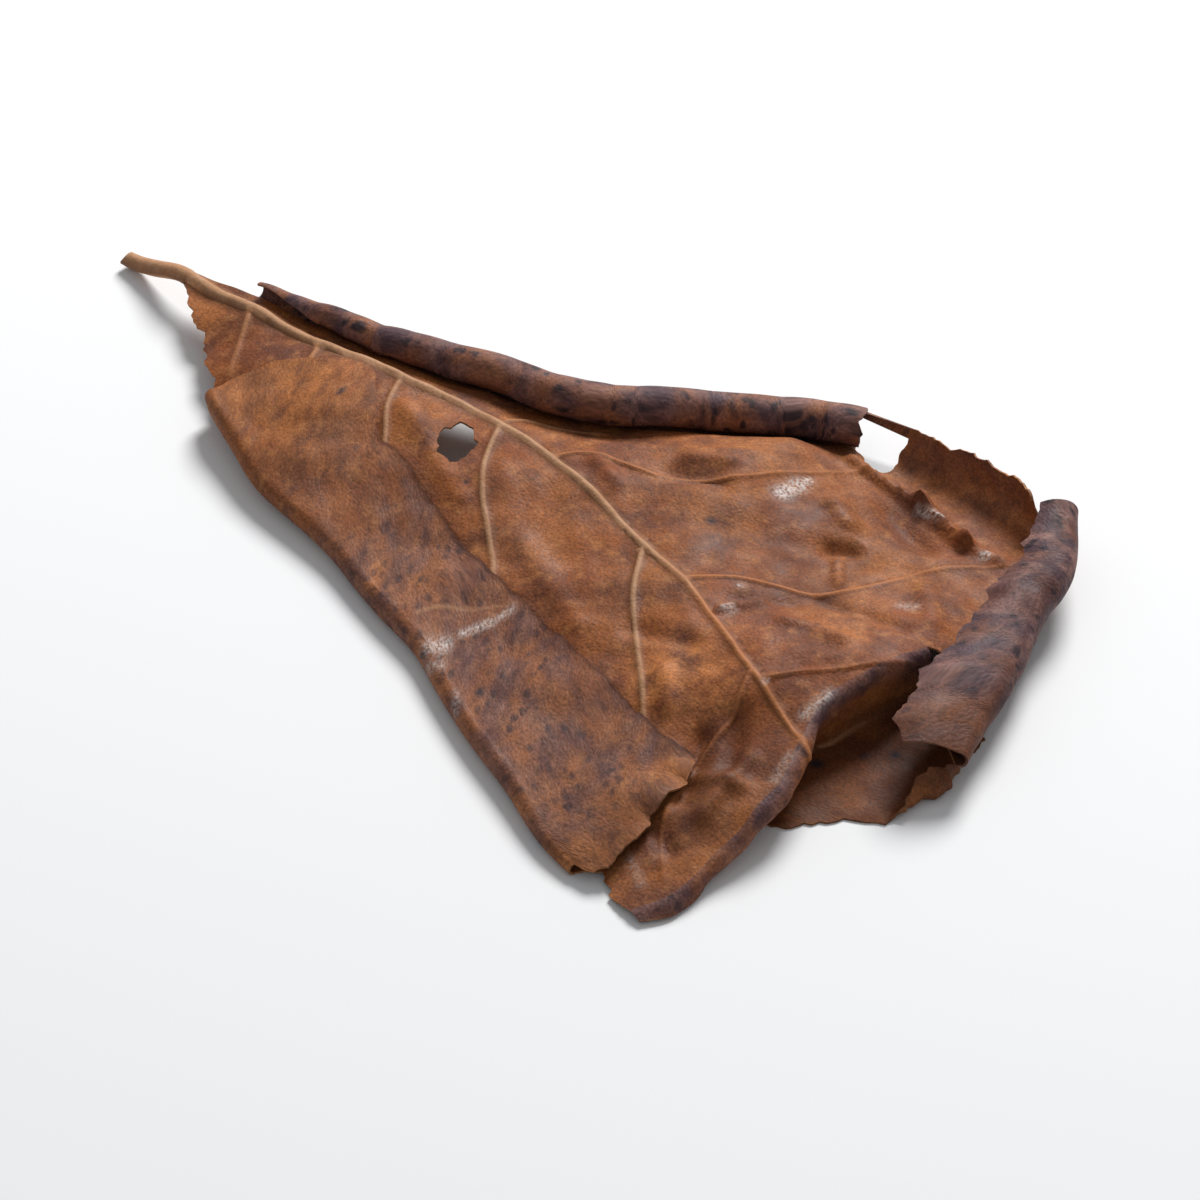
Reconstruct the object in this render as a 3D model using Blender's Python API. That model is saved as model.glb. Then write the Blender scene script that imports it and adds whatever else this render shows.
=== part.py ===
"""A dry Indian-almond leaf that curled and folded as it dried.

The leaf is one thin sheet, laid out first as a middle surface and then given
its thickness. The middle surface is a main blade, which is a height over the
ground plan, with bands that grow out of its edge: a margin folded over the
blade, a tip bent down over a crest and out again on the ground, an end margin
folded over, a short margin that stands up and a margin rolled into a tube.
Lengths are in millimetres until the mesh is made. X runs along the midrib towards the tip and Z is up. The face
seen from above is the leaf's underside, where its ribs stand out.
"""

import math

import bpy
import numpy as np
from mathutils import Vector
from mathutils.geometry import delaunay_2d_cdt

MM = 0.001

# Sheet: its thickness, and the height of its middle surface where it lies on the ground
THICKNESS = 0.7
REST = THICKNESS / 2

# Mesh: spacing of points, and how far the free points stay from edges and ribs, in steps
MESH_STEP = 4.8
RIB_STEP = 4.0
HOLE_STEP = 2.5
EDGE_CLEARANCE = 0.55
RIB_CLEARANCE = 0.5
RIB_END_GAP = 0.5
MERGE_DISTANCE = 0.0001
SHARP_ANGLE = 50

# Bands: rows of each, and how their sections are followed
LEFT_FOLD_ROWS = 6
TIP_ROWS = 23
END_FOLD_ROWS = 7
END_FLAP_ROWS = 4
UPTURN_ROWS = 5
ROLL_ROWS = 14
ROLL_PIECES = 8
STRIP_ROWS = (3, 4)
STRIP_SPACES = 2
SECTION_SUBSTEPS = 12
TURN_WEIGHT = 4.0

# Midrib, which runs on from the stalk, and the side ribs
STALK_HALF_WIDTH = 1.6
STALK_HEIGHT = 1.5
MIDRIB_END_HALF_WIDTH = 0.8
MIDRIB_END_HEIGHT = 0.6
SIDE_RIB_HALF_WIDTH = 0.9
SIDE_RIB_HEIGHT = 0.55
SIDE_RIB_TAPER = 0.6
STALK_BLEND = 14

# Midrib from the cut end of the stalk to the folded tip: x, y, z
MIDRIB = [
    (-134, -13.5, 1.5), (-126, -12.3, 3.6), (-118, -10.8, 5.4), (-101, -8, 7.4), (-84, -4.8, 8.5),
    (-73, -1.3, 9), (-60, 3, 9), (-46, 6.4, 9), (-33, 8.2, 9), (-18, 7.6, 9.5), (-4, 5.8, 10),
    (9, 4.7, 11), (21, 2, 11.8), (34.5, -1.3, 12.2), (53, -4.2, 11.6),
]
STALK_KEYS = 3

# Left margin: the line where it folds over, and its free edge
LEFT_FOLD = [
    (-88, -25.2, 3.4), (-65, -30, 1.6), (-43, -30, 0.6), (-26.5, -32.5, REST), (-14, -33.5, REST),
    (-5.5, -35.8, REST), (10, -39.5, REST), (23, -41.8, REST), (35, -45, REST), (43, -45.8, REST),
]
LEFT_FREE_EDGE = [
    (-88.4, -21.5), (-85.5, -15.5), (-79, -8.2), (-70.4, -3.6), (-64, -7.4), (-58.6, -10.9), (-50, -11.9),
    (-40, -13.6), (-27.5, -15.5), (-12.3, -16.4),
    (6, -17.6), (16.5, -18.3), (28, -19), (33.6, -19.2), (37.8, -17.7),
]
LEFT_FOLD_RADIUS = 2.1
LEFT_FOLD_RADIUS_LEAST = 1.1
LEFT_FOLD_RADIUS_PER_WIDTH = 0.12
LEFT_EDGE_LIFT = 1.25
LEFT_END_LIFT = 1.3
LEFT_EDGE_FRAY = 0.35

# How far the torn lower end of that margin bulges past its last line, by share of its width
LEFT_TORN_END = [(0, 0), (0.06, 3.6), (0.14, 5.4), (0.3, 5.6), (0.6, 4.7), (0.8, 3.7), (0.93, 1.9), (1, 0)]
TORN_END_REACH = 0.16

# Tongue: its torn left edge, then the crest over which the tip bends down
TONGUE_EDGE = [(43, -45.8, REST), (47, -43, 0.8), (51.5, -44.6, 0.8), (56, -44.8, 1.2)]
CREST = [
    (56, -44.8, 1.2), (58.2, -38.1, 2.4), (57.8, -33.1, 3.3), (56.6, -27.4, 4.5), (56.1, -22.3, 5.8),
    (54.8, -17.6, 7.2), (53.5, -11.8, 8.8), (51.3, -7.6, 9.8), (48.9, -3.6, 10.4), (46.9, -0.2, 10.9),
    (45.4, 3, 11.4), (44.6, 6.6, 11.8), (44.5, 10.5, 12), (44.7, 14.8, 12), (44.7, 19.6, 11.6),
    (44.5, 24.4, 10.8), (44.6, 27.4, 9.9),
]

# Section of the folded tip at each y: turn over the crest, radius there, longest straight part that
# goes down or back from it, share of the turn that is undone near the ground, and x of the front edge
CREST_TURN_DOWN = [
    (-45, 12), (-38, 60), (-30, 125), (-22, 175), (-14, 175), (-6, 140), (1, 112), (6, 101), (30, 97),
]
CREST_RADIUS = [(-45, 4), (-38, 2), (-30, 1.6), (-18, 2.1), (-6, 2.1), (2, 1.7), (8, 1.5), (30, 1.5)]
TUCK_BACK = [(-45, 0.8), (-30, 2), (-22, 4), (-12, 7), (-4, 6.5), (4, 8), (30, 8)]
CREST_TURN_OUT = [(-26, 0), (-22, 0.3), (-18, 0.73), (-14, 1), (30, 1)]
TUCK_FRONT = [
    (-18, 50), (-14.6, 53.7), (-6.3, 59.1), (0, 63.6), (2.5, 65.4), (6, 65.4), (10, 66.4), (14, 66),
    (18, 63.6), (27, 60),
]
LOW_RADIUS_LEAST = 0.7

# Small curl at the front of that layer: how much of it is turned up at each y, and its radius
TIP_CURL = [(1, 0), (7, 4.5), (12, 7.5), (16, 5), (22, 0)]
TIP_CURL_RADIUS = 1.7
CURL_TURN_MOST = 140

# Slit between the crest and the end margin
NECK = [
    (44.6, 27.4, 9.9), (45.7, 29, 9.1), (49.4, 28.5, 7.8), (52.8, 24.6, 6.9), (58.4, 19.4, 5.8),
    (65.6, 15.8, 5.2),
]

# End margin: the line where it folds over, radius by share of that line, and its free edge
END_FOLD = [
    (65.6, 15.8, 5.2), (58.6, 24.5, 3.6), (50.8, 37.5, 3), (44.8, 50.1, 3.6), (42.2, 58, 4.6),
    (32.4, 69.4, 6.8),
]
END_FOLD_RADIUS = [(0, 1.4), (0.12, 2.5), (0.3, 3.6), (0.7, 3.6), (1, 2.1)]
END_FREE_EDGE = [
    (59, 9.8, 9.2), (53.8, 13.5, 10), (51.6, 18, 9.6), (47.3, 26.9, 9.6), (45.6, 34, 9.5), (41.1, 43.1, 9.2),
    (37.4, 53.7, 9.8), (33, 61.8, 10.4), (29.5, 66.2, 10.8),
]
END_FLAP_ARCH = 0.1
END_UPRIGHT_FROM = 0.6
END_UPRIGHT_TO = 0.9
END_FRAY_FADE = 0.15

# Slit at the far corner, then the low line where the far margin turns up, its length and its turn
CORNER_SLIT = [(32.4, 69.4, 6.8), (31.3, 67, 4.9), (30.4, 64.8, 3.1)]
UPTURN = [(30.4, 64.8, 3.1), (19.6, 63.2, 1.5), (11.9, 61.6, 0.7), (4, 60, REST), (-1.6, 58.4, 0.6)]
UPTURN_LENGTH = [(30, 8.3), (24, 9.4), (19, 10.2), (12, 10.4), (5, 10.2), (1, 10.2), (-2, 9.4)]
UPTURN_TURN = 72
UPTURN_ROUND_SHARE = 0.65
UPTURN_FRAY = 0.7

# Torn gap, then the rolled margin: its line, and radius and turn at each x
TORN_GAP = [(-1.6, 58.4, 0.6), (-3.4, 56.4, 1.2), (-6, 56.6, 1.4), (-9.2, 57.2, 1.6)]
ROLL = [
    (-9.2, 57.2, 1.6), (-13.7, 52.8, 1.9), (-18.1, 47.8, 2.3), (-26.6, 38, 3.1), (-34.7, 28.2, 3.9),
    (-41.9, 21.1, 4.7), (-53.2, 14.2, 5.5), (-65.6, 7.9, 6.1), (-77, 3, 6.5), (-90, -1, 6.7),
    (-104, -4.6, 6.4),
]
ROLL_RADIUS = [(-104, 1.6), (-90, 2.4), (-77, 3.0), (-65, 3.6), (-45, 4.1), (-9, 4.1)]
ROLL_TURN = [(-104, 200), (-85, 330), (-70, 400), (-20, 400), (-9, 385)]
ROLL_TIGHTENING = 0.3

# Base of the blade, on both sides of the stalk
BASE_RIGHT = [(-104, -4.6, 6.4), (-112, -7, 5.9), (-118.3, -9.3, 5.4)]
BASE_LEFT = [(-117.7, -12.3, 5.4), (-104, -17.5, 4.6), (-88, -25.2, 3.4)]

# Edge of the main blade, anticlockwise from its left base, and what is torn or folded of it
BLADE_EDGE = [
    ("base_left", BASE_LEFT), ("left", LEFT_FOLD), ("tongue", TONGUE_EDGE), ("crest", CREST), ("neck", NECK),
    ("end", END_FOLD), ("slit", CORNER_SLIT), ("upturn", UPTURN), ("gap", TORN_GAP), ("roll", ROLL),
    ("base_right", BASE_RIGHT),
]
TORN_EDGES = ("base_left", "tongue", "gap")
FOLDED_EDGES = ("left", "crest", "end", "upturn", "roll")

# Points that only shape the blade between those lines: x, y, z
BLADE_SUPPORTS = [
    (-28, 23.8, 7.3), (-23, 36.3, 6.4), (-14.5, 47.3, 5.2), (-6.4, 53.5, 3), (-55, 10, 7.6), (25, 35.5, 6),
    (26, 46, 4.6), (10.8, 12.4, 10), (21, 21.5, 8), (34, 54, 4.2), (39, -14, 7), (48, -30, 5), (47, -20, 7),
]
SUPPORT_EASE = 0.5

# Side ribs: lines in the plan, from the midrib outwards
SIDE_RIBS = [
    [(-66.7, -0.1), (-62.3, -6.1), (-57, -10.4), (-50, -18), (-46, -29)],
    [(-45.4, 5.9), (-39.3, -2), (-34.3, -6.2), (-26.2, -11), (-18.4, -16), (-12, -24), (-9, -34)],
    [(-3.6, 4.8), (4.6, -3.6), (12.7, -9.2), (22.7, -15.8), (28, -20), (36, -30), (39, -44)],
    [(33.5, -1.8), (36.7, -7.6), (38.3, -13.5), (41, -21), (47, -31), (55, -37)],
    [(-46.6, 7.6), (-46, 12), (-41.5, 15.5), (-36, 22)],
    [(-33.6, 9), (-31.9, 13), (-28.4, 15.5), (-24.5, 16.7), (-15, 21.4), (-8, 30), (-5.5, 38), (-2, 54)],
    [(7.2, 5.2), (10.8, 12.4), (16.2, 17.3), (20.9, 21.6), (23.5, 27.3), (25, 35.5), (27, 45.6), (33, 56)],
    [(36, -1.5), (39, 6), (43, 13), (47, 24), (50, 33)],
    [(-84, -5.2), (-80, -11), (-73, -17), (-66, -28)],
    [(-101, -8.4), (-97, -13), (-91, -20)],
]

# Hole in the blade, left of the midrib
HOLE = [
    (-46.2, -6.7), (-49.6, -4.2), (-51.2, -0.8), (-50.2, 1.3), (-47, 1.2), (-43.4, -1.8), (-42.4, -4.8),
    (-44, -6.3),
]

# Torn edges: wavelength and depth of each wave of the fray
FRAY_WAVES = ((13, 0.5), (6.1, 0.35), (3.3, 0.22), (1.9, 0.12))


def smooth_line(keys, samples=24):
    """Dense points on a smooth line through the keys, whatever their columns hold."""
    keys = np.asarray(keys, float)
    knots = line_run(keys)
    slopes = np.gradient(keys, knots, axis=0)
    rows = []
    for k in range(len(keys) - 1):
        span = knots[k + 1] - knots[k]
        for f in np.arange(samples) / samples:
            start = (1 + 2 * f) * (1 - f) ** 2 * keys[k] + f * (1 - f) ** 2 * span * slopes[k]
            end = f * f * (3 - 2 * f) * keys[k + 1] - f * f * (1 - f) * span * slopes[k + 1]
            rows.append(start + end)
    rows.append(keys[-1])
    return np.array(rows)


def line_run(line):
    """Length in plan from the start of a line to each of its points."""
    steps = np.linalg.norm(np.diff(np.asarray(line)[:, :2], axis=0), axis=1)
    return np.concatenate(([0.0], np.cumsum(steps)))


def points_along(keys, step):
    """Evenly spaced points on a smooth line through the keys, about a step apart."""
    spaces = max(1, round(line_run(smooth_line(keys))[-1] / step))
    return matched_points(keys, spaces + 1)


def matched_points(keys, count):
    """The given number of evenly spaced points on a smooth line through the keys."""
    dense = smooth_line(keys)
    run = line_run(dense)
    wanted = np.linspace(0, run[-1], count)
    return np.stack([np.interp(wanted, run, column) for column in dense.T], axis=1)


def fray(run, seed):
    """Uneven torn edge: offset in millimetres at each place along it."""
    rng = np.random.default_rng(seed)
    offset = np.zeros_like(np.asarray(run, float))
    for wavelength, depth in FRAY_WAVES:
        offset = offset + depth * np.sin(2 * math.pi * (run / wavelength + rng.random()))
    return offset


def table(pairs, at):
    """Straight-line reading of a short table whose first column may fall or rise."""
    pairs = np.array(sorted(pairs), float)
    return np.interp(at, pairs[:, 0], pairs[:, 1])


def unit(vectors):
    return vectors / np.linalg.norm(vectors, axis=1, keepdims=True)


def ripple(plan):
    """Shallow waves left by drying."""
    x, y = plan[:, 0], plan[:, 1]
    long_waves = 0.38 * np.sin(x / 4.6 + 1.3 * np.sin(y / 9)) * np.sin(y / 5.2 + x / 23)
    short_waves = 0.3 * np.sin(x / 2.9 - y / 6.7 + 0.8) * np.cos(y / 3.7 + 0.4)
    return long_waves + short_waves


def thin_plate(a, b):
    """Bending of a thin plate at each point of a, for a push at each point of b."""
    squared = ((a[:, None, :] - b[None, :, :]) ** 2).sum(axis=2)
    return squared * np.log(squared + 1e-9)


class BladeHeight:
    """Height of the main blade over the plan: a thin plate bent through every support point."""

    def __init__(self, supports):
        supports = np.array(sorted(set(supports)), float)
        self.centres = supports[:, :2]
        count = len(supports)
        system = np.zeros((count + 3, count + 3))
        system[:count, :count] = thin_plate(self.centres, self.centres) + SUPPORT_EASE * np.eye(count)
        system[:count, count:] = np.c_[np.ones(count), self.centres]
        system[count:, :count] = system[:count, count:].T
        self.weights = np.linalg.solve(system, np.concatenate((supports[:, 2], np.zeros(3))))

    def __call__(self, plan):
        plan = np.atleast_2d(plan)
        bent = thin_plate(plan, self.centres) @ self.weights[:-3]
        level = np.c_[np.ones(len(plan)), plan] @ self.weights[-3:]
        height = bent + level
        clear_of_ground = np.clip((height - 1) / 3, 0, 1)
        return np.maximum(height + clear_of_ground * ripple(plan), REST)


def blade_supports():
    lines = [keys for _, keys in BLADE_EDGE] + [MIDRIB, BLADE_SUPPORTS]
    return [tuple(float(value) for value in point) for line in lines for point in line]


blade_height = BladeHeight(blade_supports())


def blade_point(plan):
    return np.c_[plan, blade_height(plan)]


def blade_normal(plan):
    reach = 0.4
    slope_x = (blade_height(plan + (reach, 0)) - blade_height(plan - (reach, 0))) / (2 * reach)
    slope_y = (blade_height(plan + (0, reach)) - blade_height(plan - (0, reach))) / (2 * reach)
    return unit(np.c_[-slope_x, -slope_y, np.ones(len(plan))])


def outward_in_plan(line):
    """Unit directions to the right of a line walked anticlockwise round the blade."""
    run = np.gradient(line[:, :2], axis=0)
    return unit(np.c_[run[:, 1], -run[:, 0]])


def inside(plan, outline):
    """Which points of the plan lie inside a closed outline."""
    odd = np.zeros(len(plan), bool)
    for start, end in zip(outline, np.roll(outline, -1, axis=0)):
        if start[1] == end[1]:
            continue
        crosses = (start[1] > plan[:, 1]) != (end[1] > plan[:, 1])
        at = start[0] + (plan[:, 1] - start[1]) / (end[1] - start[1]) * (end[0] - start[0])
        odd ^= crosses & (plan[:, 0] < at)
    return odd


def distance_to_line(plan, line):
    """Distance from each point to a line of straight pieces, and the share of it that lies before."""
    best = np.full(len(plan), np.inf)
    along = np.zeros(len(plan))
    run = line_run(line)
    for k in range(len(line) - 1):
        piece = line[k + 1] - line[k]
        f = np.clip((plan - line[k]) @ piece / (piece @ piece), 0, 1)
        gap = np.linalg.norm(plan - line[k] - f[:, None] * piece, axis=1)
        closer = gap < best
        best = np.where(closer, gap, best)
        along = np.where(closer, (run[k] + f * (run[k + 1] - run[k])) / run[-1], along)
    return best, along


# Ribs as lines of short straight pieces, for measuring how near a point is to them
MIDRIB_LINE = smooth_line(MIDRIB, 6)[:, :2]
SIDE_RIB_LINES = [smooth_line(rib, 4)[:, :2] for rib in SIDE_RIBS]
STALK_TOP = MIDRIB[STALK_KEYS - 1][0]
MIDRIB_TIP = MIDRIB[-1][0]


def midrib_size(x):
    """Half width and height of the midrib, which tapers from the stalk to the tip."""
    along = np.clip((x - STALK_TOP) / (MIDRIB_TIP - STALK_TOP), 0, 1)
    half_width = STALK_HALF_WIDTH + (MIDRIB_END_HALF_WIDTH - STALK_HALF_WIDTH) * along ** 0.8
    height = STALK_HEIGHT + (MIDRIB_END_HEIGHT - STALK_HEIGHT) * along ** 0.7
    return half_width, height


def rib_relief(plan):
    """How far the ribs stand out of the upper and the lower side of the sheet."""
    gap, _ = distance_to_line(plan, MIDRIB_LINE)
    half_width, height = midrib_size(plan[:, 0])
    round_top = np.sqrt(np.clip(1 - (gap / half_width) ** 2, 0, 1))
    upper = (height - REST) * round_top
    on_stalk = np.clip((STALK_TOP + STALK_BLEND - plan[:, 0]) / STALK_BLEND, 0, 1)
    lower = upper * on_stalk
    for line in SIDE_RIB_LINES:
        gap, along = distance_to_line(plan, line)
        ridge = np.clip(1 - gap / SIDE_RIB_HALF_WIDTH, 0, 1) * SIDE_RIB_HEIGHT * (1 - SIDE_RIB_TAPER * along)
        upper = np.maximum(upper, ridge)
    return upper, lower


def rib_rows():
    """Mesh lines that carry the ribs' ridges and feet."""
    middle = points_along(MIDRIB, RIB_STEP)[:, :2]
    side = outward_in_plan(middle) * midrib_size(middle[:, 0])[0][:, None]
    past_stalk = middle[:, 0] > STALK_TOP + 1
    rows = [middle + side * share for share in (-0.6, 0, 0.6)]
    rows += [(middle + side * share)[past_stalk] for share in (-1, 1)]
    for rib in SIDE_RIBS:
        middle = points_along(rib, RIB_STEP)
        side = outward_in_plan(middle) * SIDE_RIB_HALF_WIDTH
        foot = midrib_size(middle[:, 0])[0] + SIDE_RIB_HALF_WIDTH
        clear = distance_to_line(middle, MIDRIB_LINE)[0] > foot
        rows += [(middle + side * share)[clear] for share in (-1, 0, 1)]
    return rows


def stalk_outline():
    """Both sides of the stalk, from the blade's right base round its cut end to the left base."""
    middle = points_along(MIDRIB[:STALK_KEYS], RIB_STEP)[:, :2]
    side = outward_in_plan(middle) * STALK_HALF_WIDTH
    right = (middle - side)[::-1]
    left = middle + side
    return np.vstack((right[1:], left[:-1]))


def blade_outline():
    """Closed plan outline of the main blade, and where in it each of its edges lies."""
    outline, spans = [], {}
    for name, keys in BLADE_EDGE:
        line = points_along(keys, MESH_STEP)[:, :2]
        if name in TORN_EDGES:
            run = line_run(line)
            ends_held = np.sqrt(np.clip(np.sin(math.pi * run / run[-1]), 0, 1))
            line = line + outward_in_plan(line) * (fray(run, seed=6) * ends_held)[:, None]
        first = max(len(outline) - 1, 0)
        outline += [tuple(point) for point in (line[1:] if outline else line)]
        spans[name] = range(first, len(outline))
    outline += [tuple(point) for point in stalk_outline()]
    return np.array(outline), spans


def hole_outline():
    return points_along(HOLE + HOLE[:1], HOLE_STEP)[:-1]


def clear_of_edges(plan, outline, hole, gap):
    """Which points lie on the blade and further than the gap from its outline and its hole."""
    keep = inside(plan, outline) & ~inside(plan, hole)
    for loop in (outline, hole):
        keep &= distance_to_line(plan, np.vstack((loop, loop[:1])))[0] > gap
    return keep


def held_points(outline, hole):
    """Points and edges that the blade's triangles must hold: outline, hole and ribs."""
    points, edges, start = [], [], 0
    for loop in (outline, hole):
        points.append(loop)
        edges += [(start + k, start + (k + 1) % len(loop)) for k in range(len(loop))]
        start += len(loop)
    for row in rib_rows():
        kept = np.flatnonzero(clear_of_edges(row, outline, hole, RIB_END_GAP))
        number = {k: start + n for n, k in enumerate(kept)}
        points.append(row[kept])
        edges += [(number[k], number[k + 1]) for k in kept if k + 1 in number]
        start += len(kept)
    return np.vstack(points), edges


def free_points(outline, hole):
    """Even lattice of triangles inside the blade, clear of its edges and ribs."""
    low, high = outline.min(axis=0), outline.max(axis=0)
    lattice = []
    for row, y in enumerate(np.arange(low[1], high[1], MESH_STEP * math.sqrt(3) / 2)):
        for x in np.arange(low[0], high[0], MESH_STEP):
            lattice.append((x + (row % 2) * MESH_STEP / 2, y))
    lattice = np.array(lattice)
    keep = clear_of_edges(lattice, outline, hole, EDGE_CLEARANCE * MESH_STEP)
    for line in [MIDRIB_LINE] + SIDE_RIB_LINES:
        keep &= distance_to_line(lattice, line)[0] > RIB_CLEARANCE * MESH_STEP + SIDE_RIB_HALF_WIDTH
    return lattice[keep]


class Sheet:
    """The leaf's middle surface: points, their place on the flattened leaf, and triangles."""

    def __init__(self):
        self.points = []
        self.flat = []
        self.triangles = []

    def add(self, point, flat):
        self.points.append(tuple(point))
        self.flat.append(tuple(flat))
        return len(self.points) - 1

    def add_band(self, edge, rows, flat_rows):
        """A grid that grows from existing edge points; each row is an array of points. Gives its rows."""
        grid = [list(edge)]
        for row, flat_row in zip(rows, flat_rows):
            grid.append([self.add(point, flat) for point, flat in zip(row, flat_row)])
            self.join_rows(grid[-2], grid[-1])
        return grid[1:]

    def join_rows(self, before, after):
        for k in range(len(before) - 1):
            a, b, c, d = before[k], after[k], after[k + 1], before[k + 1]
            self.triangles += [(a, b, c), (a, c, d)]


def main_blade(sheet):
    """Triangulate the blade between its edges; give back the points of each folded edge."""
    outline, spans = blade_outline()
    hole = hole_outline()
    held, edges = held_points(outline, hole)
    plan = np.vstack((held, free_points(outline, hole)))
    result = delaunay_2d_cdt([Vector(point) for point in plan], edges, [], 0, MERGE_DISTANCE)
    points, faces, sources = np.array(result[0]), np.array(result[2]), result[3]
    middle = points[faces].mean(axis=1)
    faces = faces[inside(middle, outline) & ~inside(middle, hole)]
    first, second, third = (points[faces[:, k]] for k in range(3))
    a, b = second - first, third - first
    anticlockwise = a[:, 0] * b[:, 1] > a[:, 1] * b[:, 0]
    faces = np.where(anticlockwise[:, None], faces, faces[:, ::-1])
    used = np.unique(faces)
    number = {k: sheet.add(point, points[k]) for k, point in zip(used, blade_point(points[used]))}
    sheet.triangles += [tuple(number[k] for k in face) for face in faces]
    place = {old: number[new] for new, olds in enumerate(sources) for old in olds if new in number}
    return {name: [place[k] for k in spans[name]] for name in FOLDED_EDGES}


def band_line(keys):
    """Edge points of a band on the blade, with the blade's outward direction and normal there."""
    line = blade_point(points_along(keys, MESH_STEP)[:, :2])
    up = blade_normal(line[:, :2])
    out = np.c_[outward_in_plan(line), np.zeros(len(line))]
    return line, square_to(out, up), up


def square_to(out, up):
    """Directions turned to stand square to the normals."""
    return unit(out - up * (out * up).sum(axis=1, keepdims=True))


def section_rows(line, out, up, heading, pieces, count):
    """Rows of a band whose section is a chain of straight and round pieces, each a length and a turn.

    Rows are closer together where the section turns. Gives the rows and the run of each from the line.
    """
    place, run, weight = line.copy(), np.zeros(len(line)), np.zeros(len(line))
    places, runs, weights = [place], [run], [weight]
    for length, turn in pieces:
        step, bend = length / SECTION_SUBSTEPS, turn / SECTION_SUBSTEPS
        chord = step * np.sinc(bend / (2 * math.pi))
        for _ in range(SECTION_SUBSTEPS):
            middle = heading + bend / 2
            place = place + (out * np.cos(middle)[:, None] + up * np.sin(middle)[:, None]) * chord[:, None]
            heading = heading + bend
            run = run + step
            weight = weight + step + TURN_WEIGHT * np.abs(bend)
            places.append(place)
            runs.append(run)
            weights.append(weight)
    places, runs, weights = np.array(places), np.array(runs), np.array(weights)
    rows = np.zeros((count, len(line), 3))
    row_runs = np.zeros((count, len(line)))
    for k in range(len(line)):
        wanted = np.arange(1, count + 1) / count * weights[-1, k]
        row_runs[:, k] = np.interp(wanted, weights[:, k], runs[:, k])
        for axis in range(3):
            rows[:, k, axis] = np.interp(wanted, weights[:, k], places[:, k, axis])
    return rows, row_runs


def flat_rows(line, out, runs):
    """Places on the flattened leaf of rows that lie the given runs beyond a line."""
    return [line[:, :2] + out[:, :2] * run[:, None] for run in runs]


def left_flap(sheet, edge):
    """Margin folded right over: a tight round fold, then a flap that lies on the blade."""
    line, out, up = band_line(LEFT_FOLD)
    run = line_run(line)
    share_along = run / run[-1]
    free = matched_points(LEFT_FREE_EDGE, len(line))
    reach = free - line[:, :2]
    width = np.linalg.norm(reach, axis=1)
    reach *= (1 + LEFT_EDGE_FRAY * fray(run, seed=1) / width)[:, None]

    radius = np.minimum(LEFT_FOLD_RADIUS, LEFT_FOLD_RADIUS_LEAST + LEFT_FOLD_RADIUS_PER_WIDTH * width)
    still = np.zeros(len(line))
    rows, runs = section_rows(line, out, up, still, [(math.pi * radius, still + math.pi)], LEFT_FOLD_ROWS)
    rows, runs = list(rows), list(runs)

    edge_lift = LEFT_EDGE_LIFT + LEFT_END_LIFT * share_along ** 3
    near_end = np.clip((share_along - 1 + TORN_END_REACH) / TORN_END_REACH, 0, 1) ** 1.5
    along = unit(np.gradient(line[:, :2], axis=0))
    flap_rows = round(width.max() / MESH_STEP)
    for share in np.arange(1, flap_rows + 1) / flap_rows:
        bulge = near_end * (table(LEFT_TORN_END, share) + fray(share * width[-1], seed=2))
        plan = line[:, :2] + reach * share + along * bulge[:, None]
        lift = edge_lift + (2 * radius - edge_lift) * (1 - share) ** 1.6
        rows.append(blade_point(plan) + blade_normal(plan) * lift[:, None])
        runs.append(math.pi * radius + width * share)
    sheet.add_band(edge, rows, flat_rows(line, out, runs))


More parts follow.
